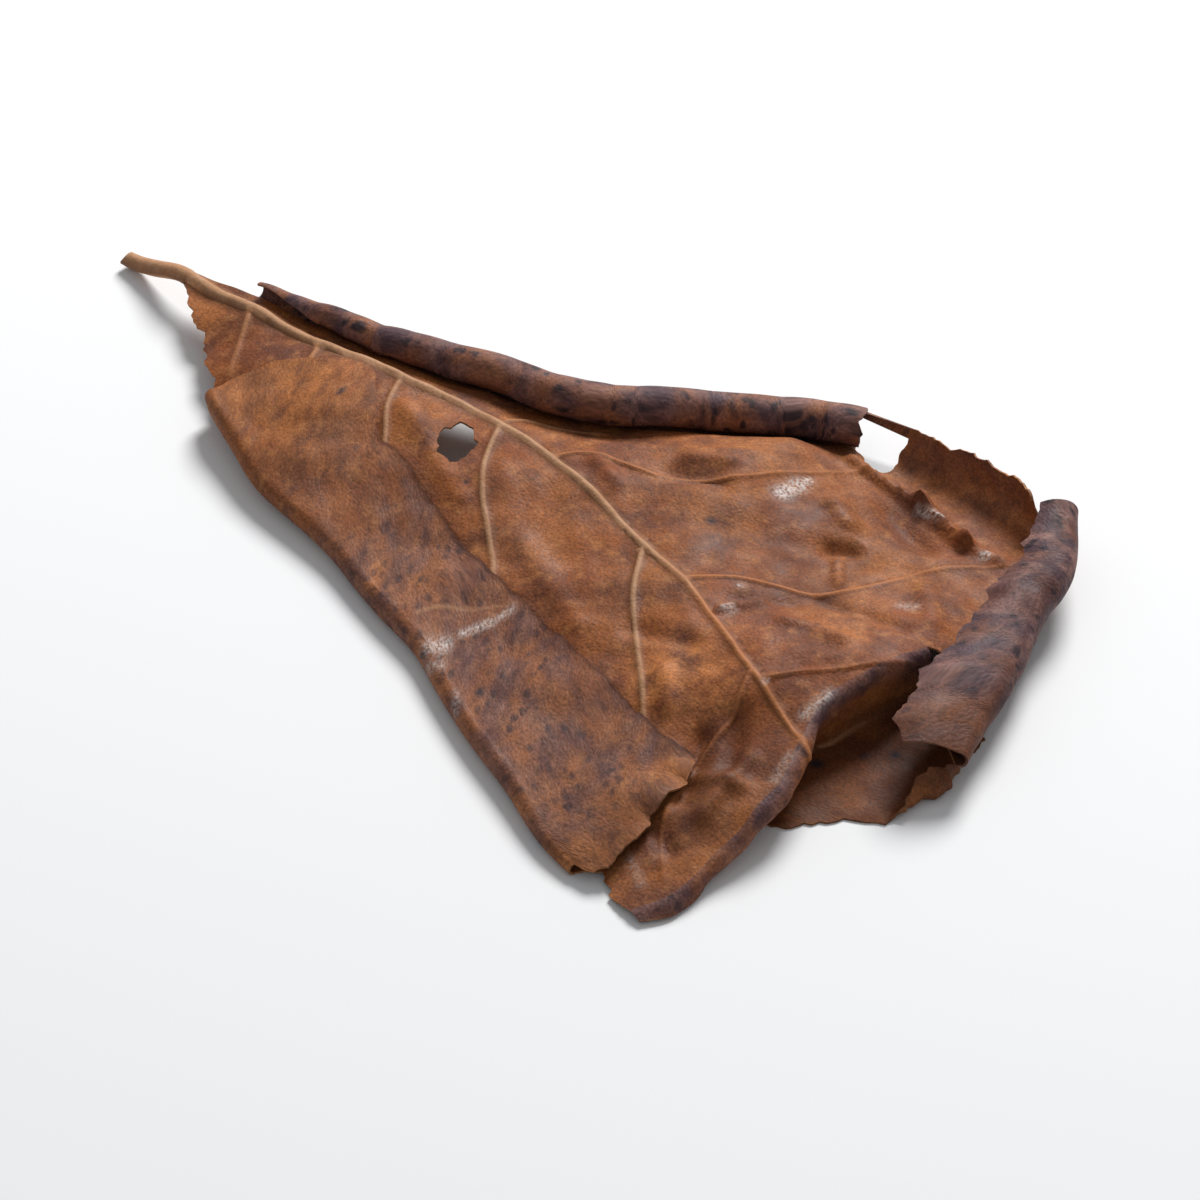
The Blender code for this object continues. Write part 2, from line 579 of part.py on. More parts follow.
def folded_tip(sheet, edge):
    """Tip that turns down over the crest as a wall, or back under it, and out again on the ground."""
    line, _, up = band_line(CREST)
    y = line[:, 1]
    start = np.arctan2(-up[:, 0], up[:, 2])
    radius = table(CREST_RADIUS, y)
    slope = np.radians(table(CREST_TURN_DOWN, y))
    turn_down = slope + start

    # Height under the crest, and how far down or back the sheet may run before it would reach the ground
    under = line[:, 2] + radius * (np.cos(slope) - np.cos(start))
    fall = np.maximum(np.sin(slope), 0.02)
    room = np.maximum(under - REST - 2 * LOW_RADIUS_LEAST, 0.1)
    back = np.minimum(table(TUCK_BACK, y), room / fall)
    under = under - back * np.sin(slope)
    behind = line[:, 0] + radius * (np.sin(slope) + np.sin(start)) + back * np.cos(slope)

    # Second turn, which brings the sheet out again; it is left out where there is no room for it
    low_radius = np.maximum((under - REST) / np.maximum(1 - np.cos(slope), 0.5), 0.1)
    turn_out = slope * table(CREST_TURN_OUT, y)
    turn_out = np.where(low_radius < LOW_RADIUS_LEAST - 0.05, 0, turn_out)
    left_over = slope - turn_out
    above_ground = under - low_radius * (np.cos(left_over) - np.cos(slope)) - REST
    short_end = np.minimum(np.maximum(above_ground, 0.2) / np.maximum(np.sin(left_over), 0.02), 1)
    behind = behind + low_radius * (np.sin(slope) - np.sin(left_over))
    curl = table(TIP_CURL, y)
    curl_turn = np.minimum(curl / TIP_CURL_RADIUS, math.radians(CURL_TURN_MOST))
    curl_reach = TIP_CURL_RADIUS * np.sin(np.minimum(curl_turn, math.pi / 2))
    front = np.maximum(table(TUCK_FRONT, y) + fray(y, seed=3) - curl_reach - behind, 1)
    forward = np.where(left_over < 0.01, front, short_end)

    still = np.zeros(len(line))
    pieces = [(radius * turn_down, -turn_down), (back, still)]
    pieces += [(low_radius * turn_out, turn_out), (forward, still)]
    pieces += [(TIP_CURL_RADIUS * curl_turn, curl_turn), (curl - TIP_CURL_RADIUS * curl_turn, still)]
    ahead = np.tile((1.0, 0.0, 0.0), (len(line), 1))
    upright = np.tile((0.0, 0.0, 1.0), (len(line), 1))
    rows, runs = section_rows(line, ahead, upright, start, pieces, TIP_ROWS)
    rows[:, :, 2] = np.maximum(rows[:, :, 2], REST)
    sheet.add_band(edge, rows, flat_rows(line, ahead, runs))


def end_flap(sheet, edge):
    """End margin folded over, open like a half-closed scroll."""
    line, out, up = band_line(END_FOLD)
    run = line_run(line)
    share_along = run / run[-1]
    upright = np.clip((share_along - END_UPRIGHT_FROM) / (END_UPRIGHT_TO - END_UPRIGHT_FROM), 0, 1)[:, None]
    up = unit(up * (1 - upright) + np.array((0, 0, 1.0)) * upright)
    out = square_to(out, up)
    radius = table(END_FOLD_RADIUS, share_along)
    still = np.zeros(len(line))
    rows, runs = section_rows(line, out, up, still, [(radius * math.pi, still + math.pi)], END_FOLD_ROWS)
    rows, runs = list(rows), list(runs)

    free = matched_points(END_FREE_EDGE, len(line))
    fading = np.clip((1 - share_along) / END_FRAY_FADE, 0, 1)
    free[:, :2] -= out[:, :2] * (fray(run, seed=4) * fading)[:, None]
    top = rows[-1]
    reach = np.linalg.norm(free - top, axis=1)
    for share in np.arange(1, END_FLAP_ROWS + 1) / END_FLAP_ROWS:
        arch = END_FLAP_ARCH * math.sin(math.pi * share) * reach
        rows.append(top + (free - top) * share + np.outer(arch, (0, 0, 1)))
        runs.append(radius * math.pi + reach * share)
    sheet.add_band(edge, rows, flat_rows(line, out, runs))


def upturned_margin(sheet, edge):
    """Short stretch of margin that stands up from a low line."""
    line, out, up = band_line(UPTURN)
    still = np.zeros(len(line))
    length = table(UPTURN_LENGTH, line[:, 0]) + UPTURN_FRAY * fray(line_run(line), seed=5)
    round_part = (length * UPTURN_ROUND_SHARE, still + math.radians(UPTURN_TURN))
    straight_part = (length * (1 - UPTURN_ROUND_SHARE), still)
    rows, runs = section_rows(line, out, up, still, [round_part, straight_part], UPTURN_ROWS)
    return sheet.add_band(edge, rows, flat_rows(line, out, runs))


def rolled_margin(sheet, edge):
    """Margin rolled up into a tube: a spiral of a little more than one turn."""
    line, out, up = band_line(ROLL)
    radius = table(ROLL_RADIUS, line[:, 0])
    turn = np.radians(table(ROLL_TURN, line[:, 0])) / ROLL_PIECES
    pieces = []
    for k in range(ROLL_PIECES):
        tightened = radius * (1 - ROLL_TIGHTENING * ((k + 0.5) / ROLL_PIECES) ** 1.3)
        pieces.append((tightened * turn, turn))
    rows, runs = section_rows(line, out, up, np.zeros(len(line)), pieces, ROLL_ROWS)
    return sheet.add_band(edge, rows, flat_rows(line, out, runs))


def strip_over_gap(sheet, upturned, rolled):
    """Narrow strip of margin that still bridges the torn gap, from the upturned margin to the roll."""
    start = [upturned[row][-1] for row in STRIP_ROWS]
    end = [rolled[row][0] for row in STRIP_ROWS]
    columns = [start]
    for k in range(1, STRIP_SPACES):
        share = k / STRIP_SPACES
        column = []
        for a, b in zip(start, end):
            point = np.array(sheet.points[a]) * (1 - share) + np.array(sheet.points[b]) * share
            flat = np.array(sheet.flat[a]) * (1 - share) + np.array(sheet.flat[b]) * share
            column.append(sheet.add(point, flat))
        columns.append(column)
    columns.append(end)
    for before, after in zip(columns[:-1], columns[1:]):
        sheet.join_rows(after, before)


def point_normals(points, faces):
    normals = np.zeros_like(points)
    first, second, third = (points[faces[:, k]] for k in range(3))
    face_normals = np.cross(second - first, third - first)
    for corner in range(3):
        np.add.at(normals, faces[:, corner], face_normals)
    return unit(normals)


def rim_edges(faces):
    """Directed edges that only one triangle of the sheet has."""
    directed = {(face[k], face[(k + 1) % 3]) for face in faces.tolist() for k in range(3)}
    return sorted((a, b) for a, b in directed if (b, a) not in directed)


def thicken(sheet):
    """Closed body round the middle surface, with the same triangles on both faces."""
    points, faces = np.array(sheet.points), np.array(sheet.triangles)
    normals = point_normals(points, faces)
    upper_relief, lower_relief = rib_relief(np.array(sheet.flat))
    top = points + normals * (REST + upper_relief)[:, None]
    bottom = points - normals * (REST + lower_relief)[:, None]
    body = np.vstack((top, bottom))
    body[:, 2] = np.maximum(body[:, 2], 0)
    count = len(points)
    solid = faces.tolist() + (faces[:, ::-1] + count).tolist()
    for a, b in rim_edges(faces):
        solid += [(b, a, a + count), (b, a + count, b + count)]
    return body, solid


def dry_leaf_material():
    material = bpy.data.materials.new("dry_leaf")
    material.use_nodes = True
    shader = material.node_tree.nodes["Principled BSDF"]
    shader.inputs["Base Color"].default_value = (0.21, 0.075, 0.026, 1)
    shader.inputs["Roughness"].default_value = 0.55
    shader.inputs["Metallic"].default_value = 0
    return material


def build_leaf():
    """The whole leaf as one object, with its origin under the middle of its box."""
    sheet = Sheet()
    edges = main_blade(sheet)
    left_flap(sheet, edges["left"])
    folded_tip(sheet, edges["crest"])
    end_flap(sheet, edges["end"])
    upturned = upturned_margin(sheet, edges["upturn"])
    rolled = rolled_margin(sheet, edges["roll"])
    strip_over_gap(sheet, upturned, rolled)
    body, solid = thicken(sheet)
    centre = (body.min(axis=0) + body.max(axis=0)) / 2 * (1, 1, 0)
    mesh = bpy.data.meshes.new("leaf")
    mesh.from_pydata(((body - centre) * MM).tolist(), [], solid)
    mesh.shade_smooth()
    mesh.set_sharp_from_angle(angle=math.radians(SHARP_ANGLE))
    mesh.materials.append(dry_leaf_material())
    leaf = bpy.data.objects.new("leaf", mesh)
    bpy.context.scene.collection.objects.link(leaf)


for old in list(bpy.data.objects):
    bpy.data.objects.remove(old, do_unlink=True)
build_leaf()
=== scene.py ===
"""A dry Indian-almond leaf as it lies: one blade that rolled and folded while it dried."""

import math

import bpy
import numpy as np
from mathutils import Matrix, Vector
from mathutils.geometry import delaunay_2d_cdt


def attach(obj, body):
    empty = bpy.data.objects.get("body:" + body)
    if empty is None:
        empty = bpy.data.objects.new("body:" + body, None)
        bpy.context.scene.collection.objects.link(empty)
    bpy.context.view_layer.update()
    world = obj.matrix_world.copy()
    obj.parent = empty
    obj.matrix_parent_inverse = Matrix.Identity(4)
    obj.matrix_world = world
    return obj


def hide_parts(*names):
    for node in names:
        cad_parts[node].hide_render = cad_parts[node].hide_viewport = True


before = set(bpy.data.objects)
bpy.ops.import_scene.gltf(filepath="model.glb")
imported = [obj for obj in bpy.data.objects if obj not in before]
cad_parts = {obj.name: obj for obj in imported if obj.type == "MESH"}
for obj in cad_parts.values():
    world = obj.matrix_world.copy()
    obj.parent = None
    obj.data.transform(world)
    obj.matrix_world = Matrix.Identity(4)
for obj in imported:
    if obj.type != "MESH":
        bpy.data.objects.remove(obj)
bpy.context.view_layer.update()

# Leaf blade: one thin leathery sheet of dead tissue, which warped into shallow waves as
# it dried. This is the part that stayed open between the folds. It is laid out on the
# ground plan in millimetres, with x along the midrib towards the tip and z up.
MM = 0.001
THICKNESS = 0.42
REST = THICKNESS / 2
MESH_STEP = 0.86

LEFT_FOLD = [
    (-88, -25.2, 3.4), (-65, -30, 1.6), (-43, -30, 0.6), (-26.5, -32.5, REST), (-14, -33.5, REST),
    (-5.5, -35.8, REST), (10, -39.5, REST), (23, -41.8, REST), (35, -45, REST), (43, -45.8, REST),
]
TONGUE_EDGE = [(43, -45.8, REST), (47, -43, 0.8), (51.5, -44.6, 0.8), (56, -44.8, 1.2)]
CREST = [
    (56, -44.8, 1.2), (58.2, -38.1, 2.4), (57.8, -33.1, 3.3), (56.6, -27.4, 4.5), (56.1, -22.3, 5.8),
    (54.8, -17.6, 7.2), (53.5, -11.8, 8.8), (51.3, -7.6, 9.8), (48.9, -3.6, 10.4), (46.9, -0.2, 10.9),
    (45.4, 3, 11.4), (44.6, 6.6, 11.8), (44.5, 10.5, 12), (44.7, 14.8, 12), (44.7, 19.6, 11.6),
    (44.5, 24.4, 10.8), (44.6, 27.4, 9.9),
]
NECK = [
    (44.6, 27.4, 9.9), (45.7, 29, 9.1), (49.4, 28.5, 7.8), (52.8, 24.6, 6.9), (58.4, 19.4, 5.8),
    (65.6, 15.8, 5.2),
]
END_FOLD = [
    (65.6, 15.8, 5.2), (58.6, 24.5, 3.6), (50.8, 37.5, 3), (44.8, 50.1, 3.6), (42.2, 58, 4.6),
    (32.4, 69.4, 6.8),
]
CORNER_SLIT = [(32.4, 69.4, 6.8), (31.3, 67, 4.9), (30.4, 64.8, 3.1)]
UPTURN = [(30.4, 64.8, 3.1), (19.6, 63.2, 1.5), (11.9, 61.6, 0.7), (4, 60, REST), (-1.6, 58.4, 0.6)]
TORN_GAP = [(-1.6, 58.4, 0.6), (-3.4, 56.4, 1.2), (-6, 56.6, 1.4), (-9.2, 57.2, 1.6)]
ROLL = [
    (-9.2, 57.2, 1.6), (-13.7, 52.8, 1.9), (-18.1, 47.8, 2.3), (-26.6, 38, 3.1), (-34.7, 28.2, 3.9),
    (-41.9, 21.1, 4.7), (-53.2, 14.2, 5.5), (-65.6, 7.9, 6.1), (-77, 3, 6.5), (-90, -1, 6.7),
    (-104, -4.6, 6.4),
]
BASE_RIGHT = [(-104, -4.6, 6.4), (-112, -7, 5.9), (-118.3, -9.3, 5.4)]
BASE_LEFT = [(-117.7, -12.3, 5.4), (-104, -17.5, 4.6), (-88, -25.2, 3.4)]
BLADE_EDGE = [
    ("base_left", BASE_LEFT), ("left", LEFT_FOLD), ("tongue", TONGUE_EDGE), ("crest", CREST), ("neck", NECK),
    ("end", END_FOLD), ("slit", CORNER_SLIT), ("upturn", UPTURN), ("gap", TORN_GAP), ("roll", ROLL),
    ("base_right", BASE_RIGHT),
]
TORN_EDGES = ("base_left", "tongue", "gap")
FOLDED_EDGES = ("left", "crest", "end", "upturn", "roll")
HOLE = [
    (-46.2, -6.7), (-49.6, -4.2), (-51.2, -0.8), (-50.2, 1.3), (-47, 1.2), (-43.4, -1.8), (-42.4, -4.8),
    (-44, -6.3),
]
MIDRIB = [
    (-134, -13.5, 1.5), (-126, -12.3, 3.6), (-118, -10.8, 5.4), (-101, -8, 7.4), (-84, -4.8, 8.5),
    (-73, -1.3, 9), (-60, 3, 9), (-46, 6.4, 9), (-33, 8.2, 9), (-18, 7.6, 9.5), (-4, 5.8, 10),
    (9, 4.7, 11), (21, 2, 11.8), (34.5, -1.3, 12.2), (53, -4.2, 11.6),
]
BLADE_SUPPORTS = [
    (-28, 23.8, 7.3), (-23, 36.3, 6.4), (-14.5, 47.3, 5.2), (-6.4, 53.5, 3), (-55, 10, 7.6), (25, 35.5, 6),
    (26, 46, 4.6), (10.8, 12.4, 10), (21, 21.5, 8), (34, 54, 4.2), (39, -14, 7), (48, -30, 5), (47, -20, 7),
]
SUPPORT_EASE = 0.5
NORMAL_REACH = 0.4
TINY = 1e-9

# Waves left by drying: their heights, and how they come in with the blade's height over the ground
LONG_WAVE = 0.38
SHORT_WAVE = 0.3
COCKLE = 0.09
WAVES_BY_HEIGHT = [(1, 0), (4, 1)]

# Creases and dents in the open blade: both ends of each in plan, its height, which is
# negative for a dent, and how far it reaches to either side. CREASE_DEPTH scales every height.
CREASE_DEPTH = 1.3
CREASES = [
    ((-5, 53.5), (10, 56.5), 1.6, 1.5), ((10, 56.5), (23.5, 54.5), 1.9, 1.5),
    ((23.5, 54.5), (31, 56), 1.3, 1.4),
    ((9, 50), (20, 48), -1.2, 2.6), ((5, 41), (9.5, 40), 1.3, 2.2), ((15, 36), (13, 33), -1.3, 1.8),
    ((21, 28), (16, 32), 0.7, 0.9), ((17.5, 5.5), (19, 12.5), 1.0, 1.1), ((16, 9), (22, 17), -0.8, 2.2),
    ((-17, 22), (-8, 26), -0.9, 2.2), ((-18, 27), (-12, 31), 0.9, 1.7), ((24, 22), (38, 27), -1.0, 2.0),
    ((30, 40), (40, 33), 0.9, 2.0), ((-28, 14), (-20, 12.5), 0.7, 1.5), ((38, -8), (44, -14), -1.0, 1.9),
    ((40, -21), (50, -17), 0.9, 1.5), ((44, -31), (51, -33), -0.7, 1.7), ((10, -8), (20, -4), -0.8, 2.2),
    ((-34, 17), (-12, 36), 0.5, 1.3), ((36, -14), (45, -25), -1.3, 2.0), ((46, -12), (50, -25), 1.0, 1.5),
    ((22, -11), (28, -15), 0.8, 1.8), ((-60, -4), (-36, -10), 0.6, 2.0), ((-20, -8), (2, -14), 0.6, 2.4),
    ((26, 12), (36, 16), 0.9, 1.8),
]

# Torn edges: length and depth of each wave of the fray
FRAY_WAVES = ((13, 0.5), (6.1, 0.35), (3.3, 0.22), (1.9, 0.16), (1.1, 0.1))


def smooth_line(keys, samples=24):
    """Dense points on a smooth line through the keys, whatever their columns hold."""
    keys = np.asarray(keys, float)
    knots = line_run(keys)
    slopes = np.gradient(keys, knots, axis=0)
    rows = []
    for k in range(len(keys) - 1):
        span = knots[k + 1] - knots[k]
        for f in np.arange(samples) / samples:
            start = (1 + 2 * f) * (1 - f) ** 2 * keys[k] + f * (1 - f) ** 2 * span * slopes[k]
            end = f * f * (3 - 2 * f) * keys[k + 1] - f * f * (1 - f) * span * slopes[k + 1]
            rows.append(start + end)
    rows.append(keys[-1])
    return np.array(rows)


def line_run(line):
    """Length in plan from the start of a line to each of its points."""
    steps = np.linalg.norm(np.diff(np.asarray(line)[:, :2], axis=0), axis=1)
    return np.concatenate(([0.0], np.cumsum(steps)))


def points_along(keys, step=MESH_STEP):
    """Evenly spaced points on a smooth line through the keys, about a step apart."""
    spaces = max(1, round(line_run(smooth_line(keys))[-1] / step))
    return matched_points(keys, spaces + 1)


def matched_points(keys, count):
    """The given number of evenly spaced points on a smooth line through the keys."""
    dense = smooth_line(keys)
    run = line_run(dense)
    wanted = np.linspace(0, run[-1], count)
    return np.stack([np.interp(wanted, run, column) for column in dense.T], axis=1)


def fray(run, seed):
    """Uneven torn edge: offset in millimetres at each place along it."""
    rng = np.random.default_rng(seed)
    offset = np.zeros_like(np.asarray(run, float))
    for wavelength, depth in FRAY_WAVES:
        offset = offset + depth * np.sin(2 * math.pi * (run / wavelength + rng.random()))
    return offset


def table(pairs, at):
    """Straight-line reading of a short table whose first column may fall or rise."""
    pairs = np.array(sorted(pairs), float)
    return np.interp(at, pairs[:, 0], pairs[:, 1])


def unit(vectors):
    return vectors / np.linalg.norm(vectors, axis=1, keepdims=True)


def ripple(plan):
    """Shallow waves left by drying, with small cockles between them; each sine's divisor sets its length."""
    x, y = plan[:, 0], plan[:, 1]
    long_waves = LONG_WAVE * np.sin(x / 4.6 + 1.3 * np.sin(y / 9)) * np.sin(y / 5.2 + x / 23)
    short_waves = SHORT_WAVE * np.sin(x / 2.9 - y / 6.7 + 0.8) * np.cos(y / 3.7 + 0.4)
    cockles = COCKLE * np.sin(x / 1.25 + 2 * np.sin(y / 4)) * np.sin(y / 1.45 - x / 5)
    return long_waves + short_waves + cockles


def distance_to_line(plan, line):
    """Distance from each point to a line of straight pieces, and the share of the line up to there."""
    best = np.full(len(plan), np.inf)
    along = np.zeros(len(plan))
    run = line_run(line)
    for k in range(len(line) - 1):
        piece = line[k + 1] - line[k]
        f = np.clip((plan - line[k]) @ piece / (piece @ piece), 0, 1)
        gap = np.linalg.norm(plan - line[k] - f[:, None] * piece, axis=1)
        closer = gap < best
        best = np.where(closer, gap, best)
        along = np.where(closer, (run[k] + f * (run[k + 1] - run[k])) / run[-1], along)
    return best, along


def creases(plan):
    """Creases and dents, each with soft sides and ends."""
    total = np.zeros(len(plan))
    for start, end, height, reach in CREASES:
        gap, _ = distance_to_line(plan, np.array((start, end), float))
        total = total + CREASE_DEPTH * height * np.exp(-(gap / reach) ** 2)
    return total


def thin_plate(a, b):
    """Bending of a thin plate at each point of a, for a push at each point of b."""
    squared = ((a[:, None, :] - b[None, :, :]) ** 2).sum(axis=2)
    return squared * np.log(squared + TINY)


class BladeHeight:
    """Height of the open blade over the plan: a thin plate bent to its support points, then creased."""

    def __init__(self, supports):
        supports = np.array(sorted(set(supports)), float)
        self.centres = supports[:, :2]
        count = len(supports)
        system = np.zeros((count + 3, count + 3))
        system[:count, :count] = thin_plate(self.centres, self.centres) + SUPPORT_EASE * np.eye(count)
        system[:count, count:] = np.c_[np.ones(count), self.centres]
        system[count:, :count] = system[:count, count:].T
        self.weights = np.linalg.solve(system, np.concatenate((supports[:, 2], np.zeros(3))))

    def __call__(self, plan):
        plan = np.atleast_2d(plan)
        bent = thin_plate(plan, self.centres) @ self.weights[:-3]
        level = np.c_[np.ones(len(plan)), plan] @ self.weights[-3:]
        height = bent + level
        waves = table(WAVES_BY_HEIGHT, height) * ripple(plan)
        return np.maximum(height + waves + creases(plan), REST)


support_lines = [keys for _, keys in BLADE_EDGE] + [MIDRIB, BLADE_SUPPORTS]
support_points = [tuple(float(value) for value in point) for line in support_lines for point in line]
blade_height = BladeHeight(support_points)


def blade_point(plan):
    return np.c_[plan, blade_height(plan)]


def blade_normal(plan):
    falls = [blade_height(plan - step) - blade_height(plan + step) for step in NORMAL_REACH * np.eye(2)]
    return unit(np.c_[falls[0], falls[1], np.full(len(plan), 2 * NORMAL_REACH)])


def outward_in_plan(line):
    """Unit directions to the right of a line walked anticlockwise round the blade."""
    run = np.gradient(line[:, :2], axis=0)
    return unit(np.c_[run[:, 1], -run[:, 0]])


def inside(plan, outline):
    """Which points of the plan lie inside a closed outline."""
    odd = np.zeros(len(plan), bool)
    for start, end in zip(outline, np.roll(outline, -1, axis=0)):
        if start[1] == end[1]:
            continue
        crosses = (start[1] > plan[:, 1]) != (end[1] > plan[:, 1])
        at = start[0] + (plan[:, 1] - start[1]) / (end[1] - start[1]) * (end[0] - start[0])
        odd ^= crosses & (plan[:, 0] < at)
    return odd


# Midrib, leaf stalk and side veins: cords of the same tissue as the blade, which stand
# out of its underside. The stalk is the free end of the midrib and broke off the twig.
STALK_KEYS = 3
STALK_HALF_WIDTH = 1.6
STALK_HEIGHT = 1.5
STALK_BLEND = 14
STALK_CLEARANCE = 1
MIDRIB_BASE_HALF_WIDTH = 1.3
MIDRIB_END_HALF_WIDTH = 0.5
MIDRIB_END_HEIGHT = 0.5
MIDRIB_WIDTH_EASE = 0.8
MIDRIB_HEIGHT_EASE = 0.6
SIDE_RIB_HALF_WIDTH = 0.62
SIDE_RIB_HEIGHT = 0.4
SIDE_RIB_TAPER = 0.6
RIB_SHARES = (-1, -0.5, 0, 0.5, 1)
RIB_SAMPLES = 6
SIDE_RIBS = [
    [(-66.7, -0.1), (-62.3, -6.1), (-57, -10.4), (-50, -18), (-46, -29)],
    [(-45.4, 5.9), (-39.3, -2), (-34.3, -6.2), (-26.2, -11), (-18.4, -16), (-12, -24), (-9, -34)],
    [(-3.6, 4.8), (4.6, -3.6), (12.7, -9.2), (22.7, -15.8), (28, -20), (36, -30), (39, -44)],
    [(33.5, -1.8), (36.7, -7.6), (38.3, -13.5), (41, -21), (47, -31), (55, -37)],
    [(-46.6, 7.6), (-46, 12), (-41.5, 15.5), (-36, 22)],
    [(-33.6, 9), (-31.9, 13), (-28.4, 15.5), (-24.5, 16.7), (-15, 21.4), (-8, 30), (-5.5, 38), (-2, 54)],
    [(7.2, 5.2), (10.8, 12.4), (16.2, 17.3), (20.9, 21.6), (23.5, 27.3), (25, 35.5), (27, 45.6), (33, 56)],
    [(36, -1.5), (39, 6), (43, 13), (47, 24), (50, 33)],
    [(-84, -5.2), (-80, -11), (-73, -17), (-66, -28)],
    [(-101, -8.4), (-97, -13), (-91, -20)],
]
MIDRIB_LINE = smooth_line(MIDRIB, RIB_SAMPLES)[:, :2]
SIDE_RIB_LINES = [smooth_line(rib, RIB_SAMPLES)[:, :2] for rib in SIDE_RIBS]
STALK_TOP = MIDRIB[STALK_KEYS - 1][0]
MIDRIB_TIP = MIDRIB[-1][0]


def on_stalk(x):
    """One on the free stalk, falling to nothing where the blade has begun."""
    return np.clip((STALK_TOP + STALK_BLEND - x) / STALK_BLEND, 0, 1)


def midrib_size(x):
    """Half width and height of the midrib, which tapers from the stalk to the tip."""
    along = np.clip((x - STALK_TOP) / (MIDRIB_TIP - STALK_TOP), 0, 1)
    narrowing = (MIDRIB_END_HALF_WIDTH - MIDRIB_BASE_HALF_WIDTH) * along ** MIDRIB_WIDTH_EASE
    widening = (STALK_HALF_WIDTH - MIDRIB_BASE_HALF_WIDTH) * on_stalk(x)
    half_width = MIDRIB_BASE_HALF_WIDTH + narrowing + widening
    height = STALK_HEIGHT + (MIDRIB_END_HEIGHT - STALK_HEIGHT) * along ** MIDRIB_HEIGHT_EASE
    return half_width, height


def rib_relief(plan):
    """How far the ribs stand out of the upper and the lower side of the sheet."""
    gap, _ = distance_to_line(plan, MIDRIB_LINE)
    half_width, height = midrib_size(plan[:, 0])
    upper = (height - REST) * np.sqrt(np.clip(1 - (gap / half_width) ** 2, 0, 1))
    lower = upper * on_stalk(plan[:, 0])
    for line in SIDE_RIB_LINES:
        gap, along = distance_to_line(plan, line)
        round_top = np.sqrt(np.clip(1 - (gap / SIDE_RIB_HALF_WIDTH) ** 2, 0, 1))
        upper = np.maximum(upper, round_top * SIDE_RIB_HEIGHT * (1 - SIDE_RIB_TAPER * along))
    return upper, lower


def rib_rows():
    """Mesh lines that run along the ribs, on their ridges, flanks and feet."""
    middle = points_along(MIDRIB)[:, :2]
    side = outward_in_plan(middle) * midrib_size(middle[:, 0])[0][:, None]
    past_stalk = middle[:, 0] > STALK_TOP + STALK_CLEARANCE
    rows = [middle + side * share for share in RIB_SHARES[1:-1]]
    rows += [(middle + side * share)[past_stalk] for share in (RIB_SHARES[0], RIB_SHARES[-1])]
    for rib in SIDE_RIBS:
        middle = points_along(rib)
        side = outward_in_plan(middle) * SIDE_RIB_HALF_WIDTH
        foot = midrib_size(middle[:, 0])[0] + SIDE_RIB_HALF_WIDTH
        clear = distance_to_line(middle, MIDRIB_LINE)[0] > foot
        rows += [(middle + side * share)[clear] for share in RIB_SHARES]
    return rows


# Mesh of the open blade: triangles between its edges and along its ribs. Every band that
# grows out of a folded edge later takes up the points of that edge.
RIB_END_GAP = 0.12
EDGE_CLEARANCE = 0.55
RIB_CLEARANCE = 0.45
MERGE_DISTANCE = 0.00001
HOLE_FRAY = 0.9


class Sheet:
    """The leaf's middle surface: points, their place on the flattened leaf, their part, and triangles."""

    def __init__(self):
        self.points = []
        self.flat = []
        self.part = []
        self.triangles = []

    def add(self, point, flat, part):
        self.points.append(tuple(point))
        self.flat.append(tuple(flat))
        self.part.append(part)
        return len(self.points) - 1

    def add_band(self, edge, rows, flat_rows, part):
        """A grid that grows from existing edge points; each row is an array of points. Gives its rows."""
        grid = [list(edge)]
        for row, flat_row in zip(rows, flat_rows):
            grid.append([self.add(point, flat, part) for point, flat in zip(row, flat_row)])
            self.join_rows(grid[-2], grid[-1])
        return grid[1:]

    def join_rows(self, before, after):
        for k in range(len(before) - 1):
            a, b, c, d = before[k], after[k], after[k + 1], before[k + 1]
            self.triangles += [(a, b, c), (a, c, d)]


def stalk_outline():
    """Both sides of the stalk, from the blade's right base round its cut end to the left base."""
    middle = points_along(MIDRIB[:STALK_KEYS])[:, :2]
    side = outward_in_plan(middle) * STALK_HALF_WIDTH
    right = (middle - side)[::-1]
    left = middle + side
    return np.vstack((right[1:], left[:-1]))


def blade_outline():
    """Closed plan outline of the open blade, and where in it each of its edges lies."""
    outline, spans = [], {}
    for name, keys in BLADE_EDGE:
        line = points_along(keys)[:, :2]
        if name in TORN_EDGES:
            run = line_run(line)
            ends_held = np.sqrt(np.clip(np.sin(math.pi * run / run[-1]), 0, 1))
            line = line + outward_in_plan(line) * (fray(run, seed=6) * ends_held)[:, None]
        first = max(len(outline) - 1, 0)
        outline += [tuple(point) for point in (line[1:] if outline else line)]
        spans[name] = range(first, len(outline))
    outline += [tuple(point) for point in stalk_outline()]
    return np.array(outline), spans


def hole_outline():
    ring = points_along(HOLE + HOLE[:1])[:-1]
    return ring + outward_in_plan(ring) * (HOLE_FRAY * fray(line_run(ring), seed=7))[:, None]


def clear_of_edges(plan, outline, hole, gap):
    """Which points lie on the blade and further than the gap from its outline and its hole."""
    keep = inside(plan, outline) & ~inside(plan, hole)
    for loop in (outline, hole):
        keep &= distance_to_line(plan, np.vstack((loop, loop[:1])))[0] > gap
    return keep


def held_points(outline, hole):
    """Points and edges that the blade's triangles must hold: outline, hole and ribs."""
    points, edges, start = [], [], 0
    for loop in (outline, hole):
        points.append(loop)
        edges += [(start + k, start + (k + 1) % len(loop)) for k in range(len(loop))]
        start += len(loop)
    for row in rib_rows():
        kept = np.flatnonzero(clear_of_edges(row, outline, hole, RIB_END_GAP))
        number = {k: start + n for n, k in enumerate(kept)}
        points.append(row[kept])
        edges += [(number[k], number[k + 1]) for k in kept if k + 1 in number]
        start += len(kept)
    return np.vstack(points), edges


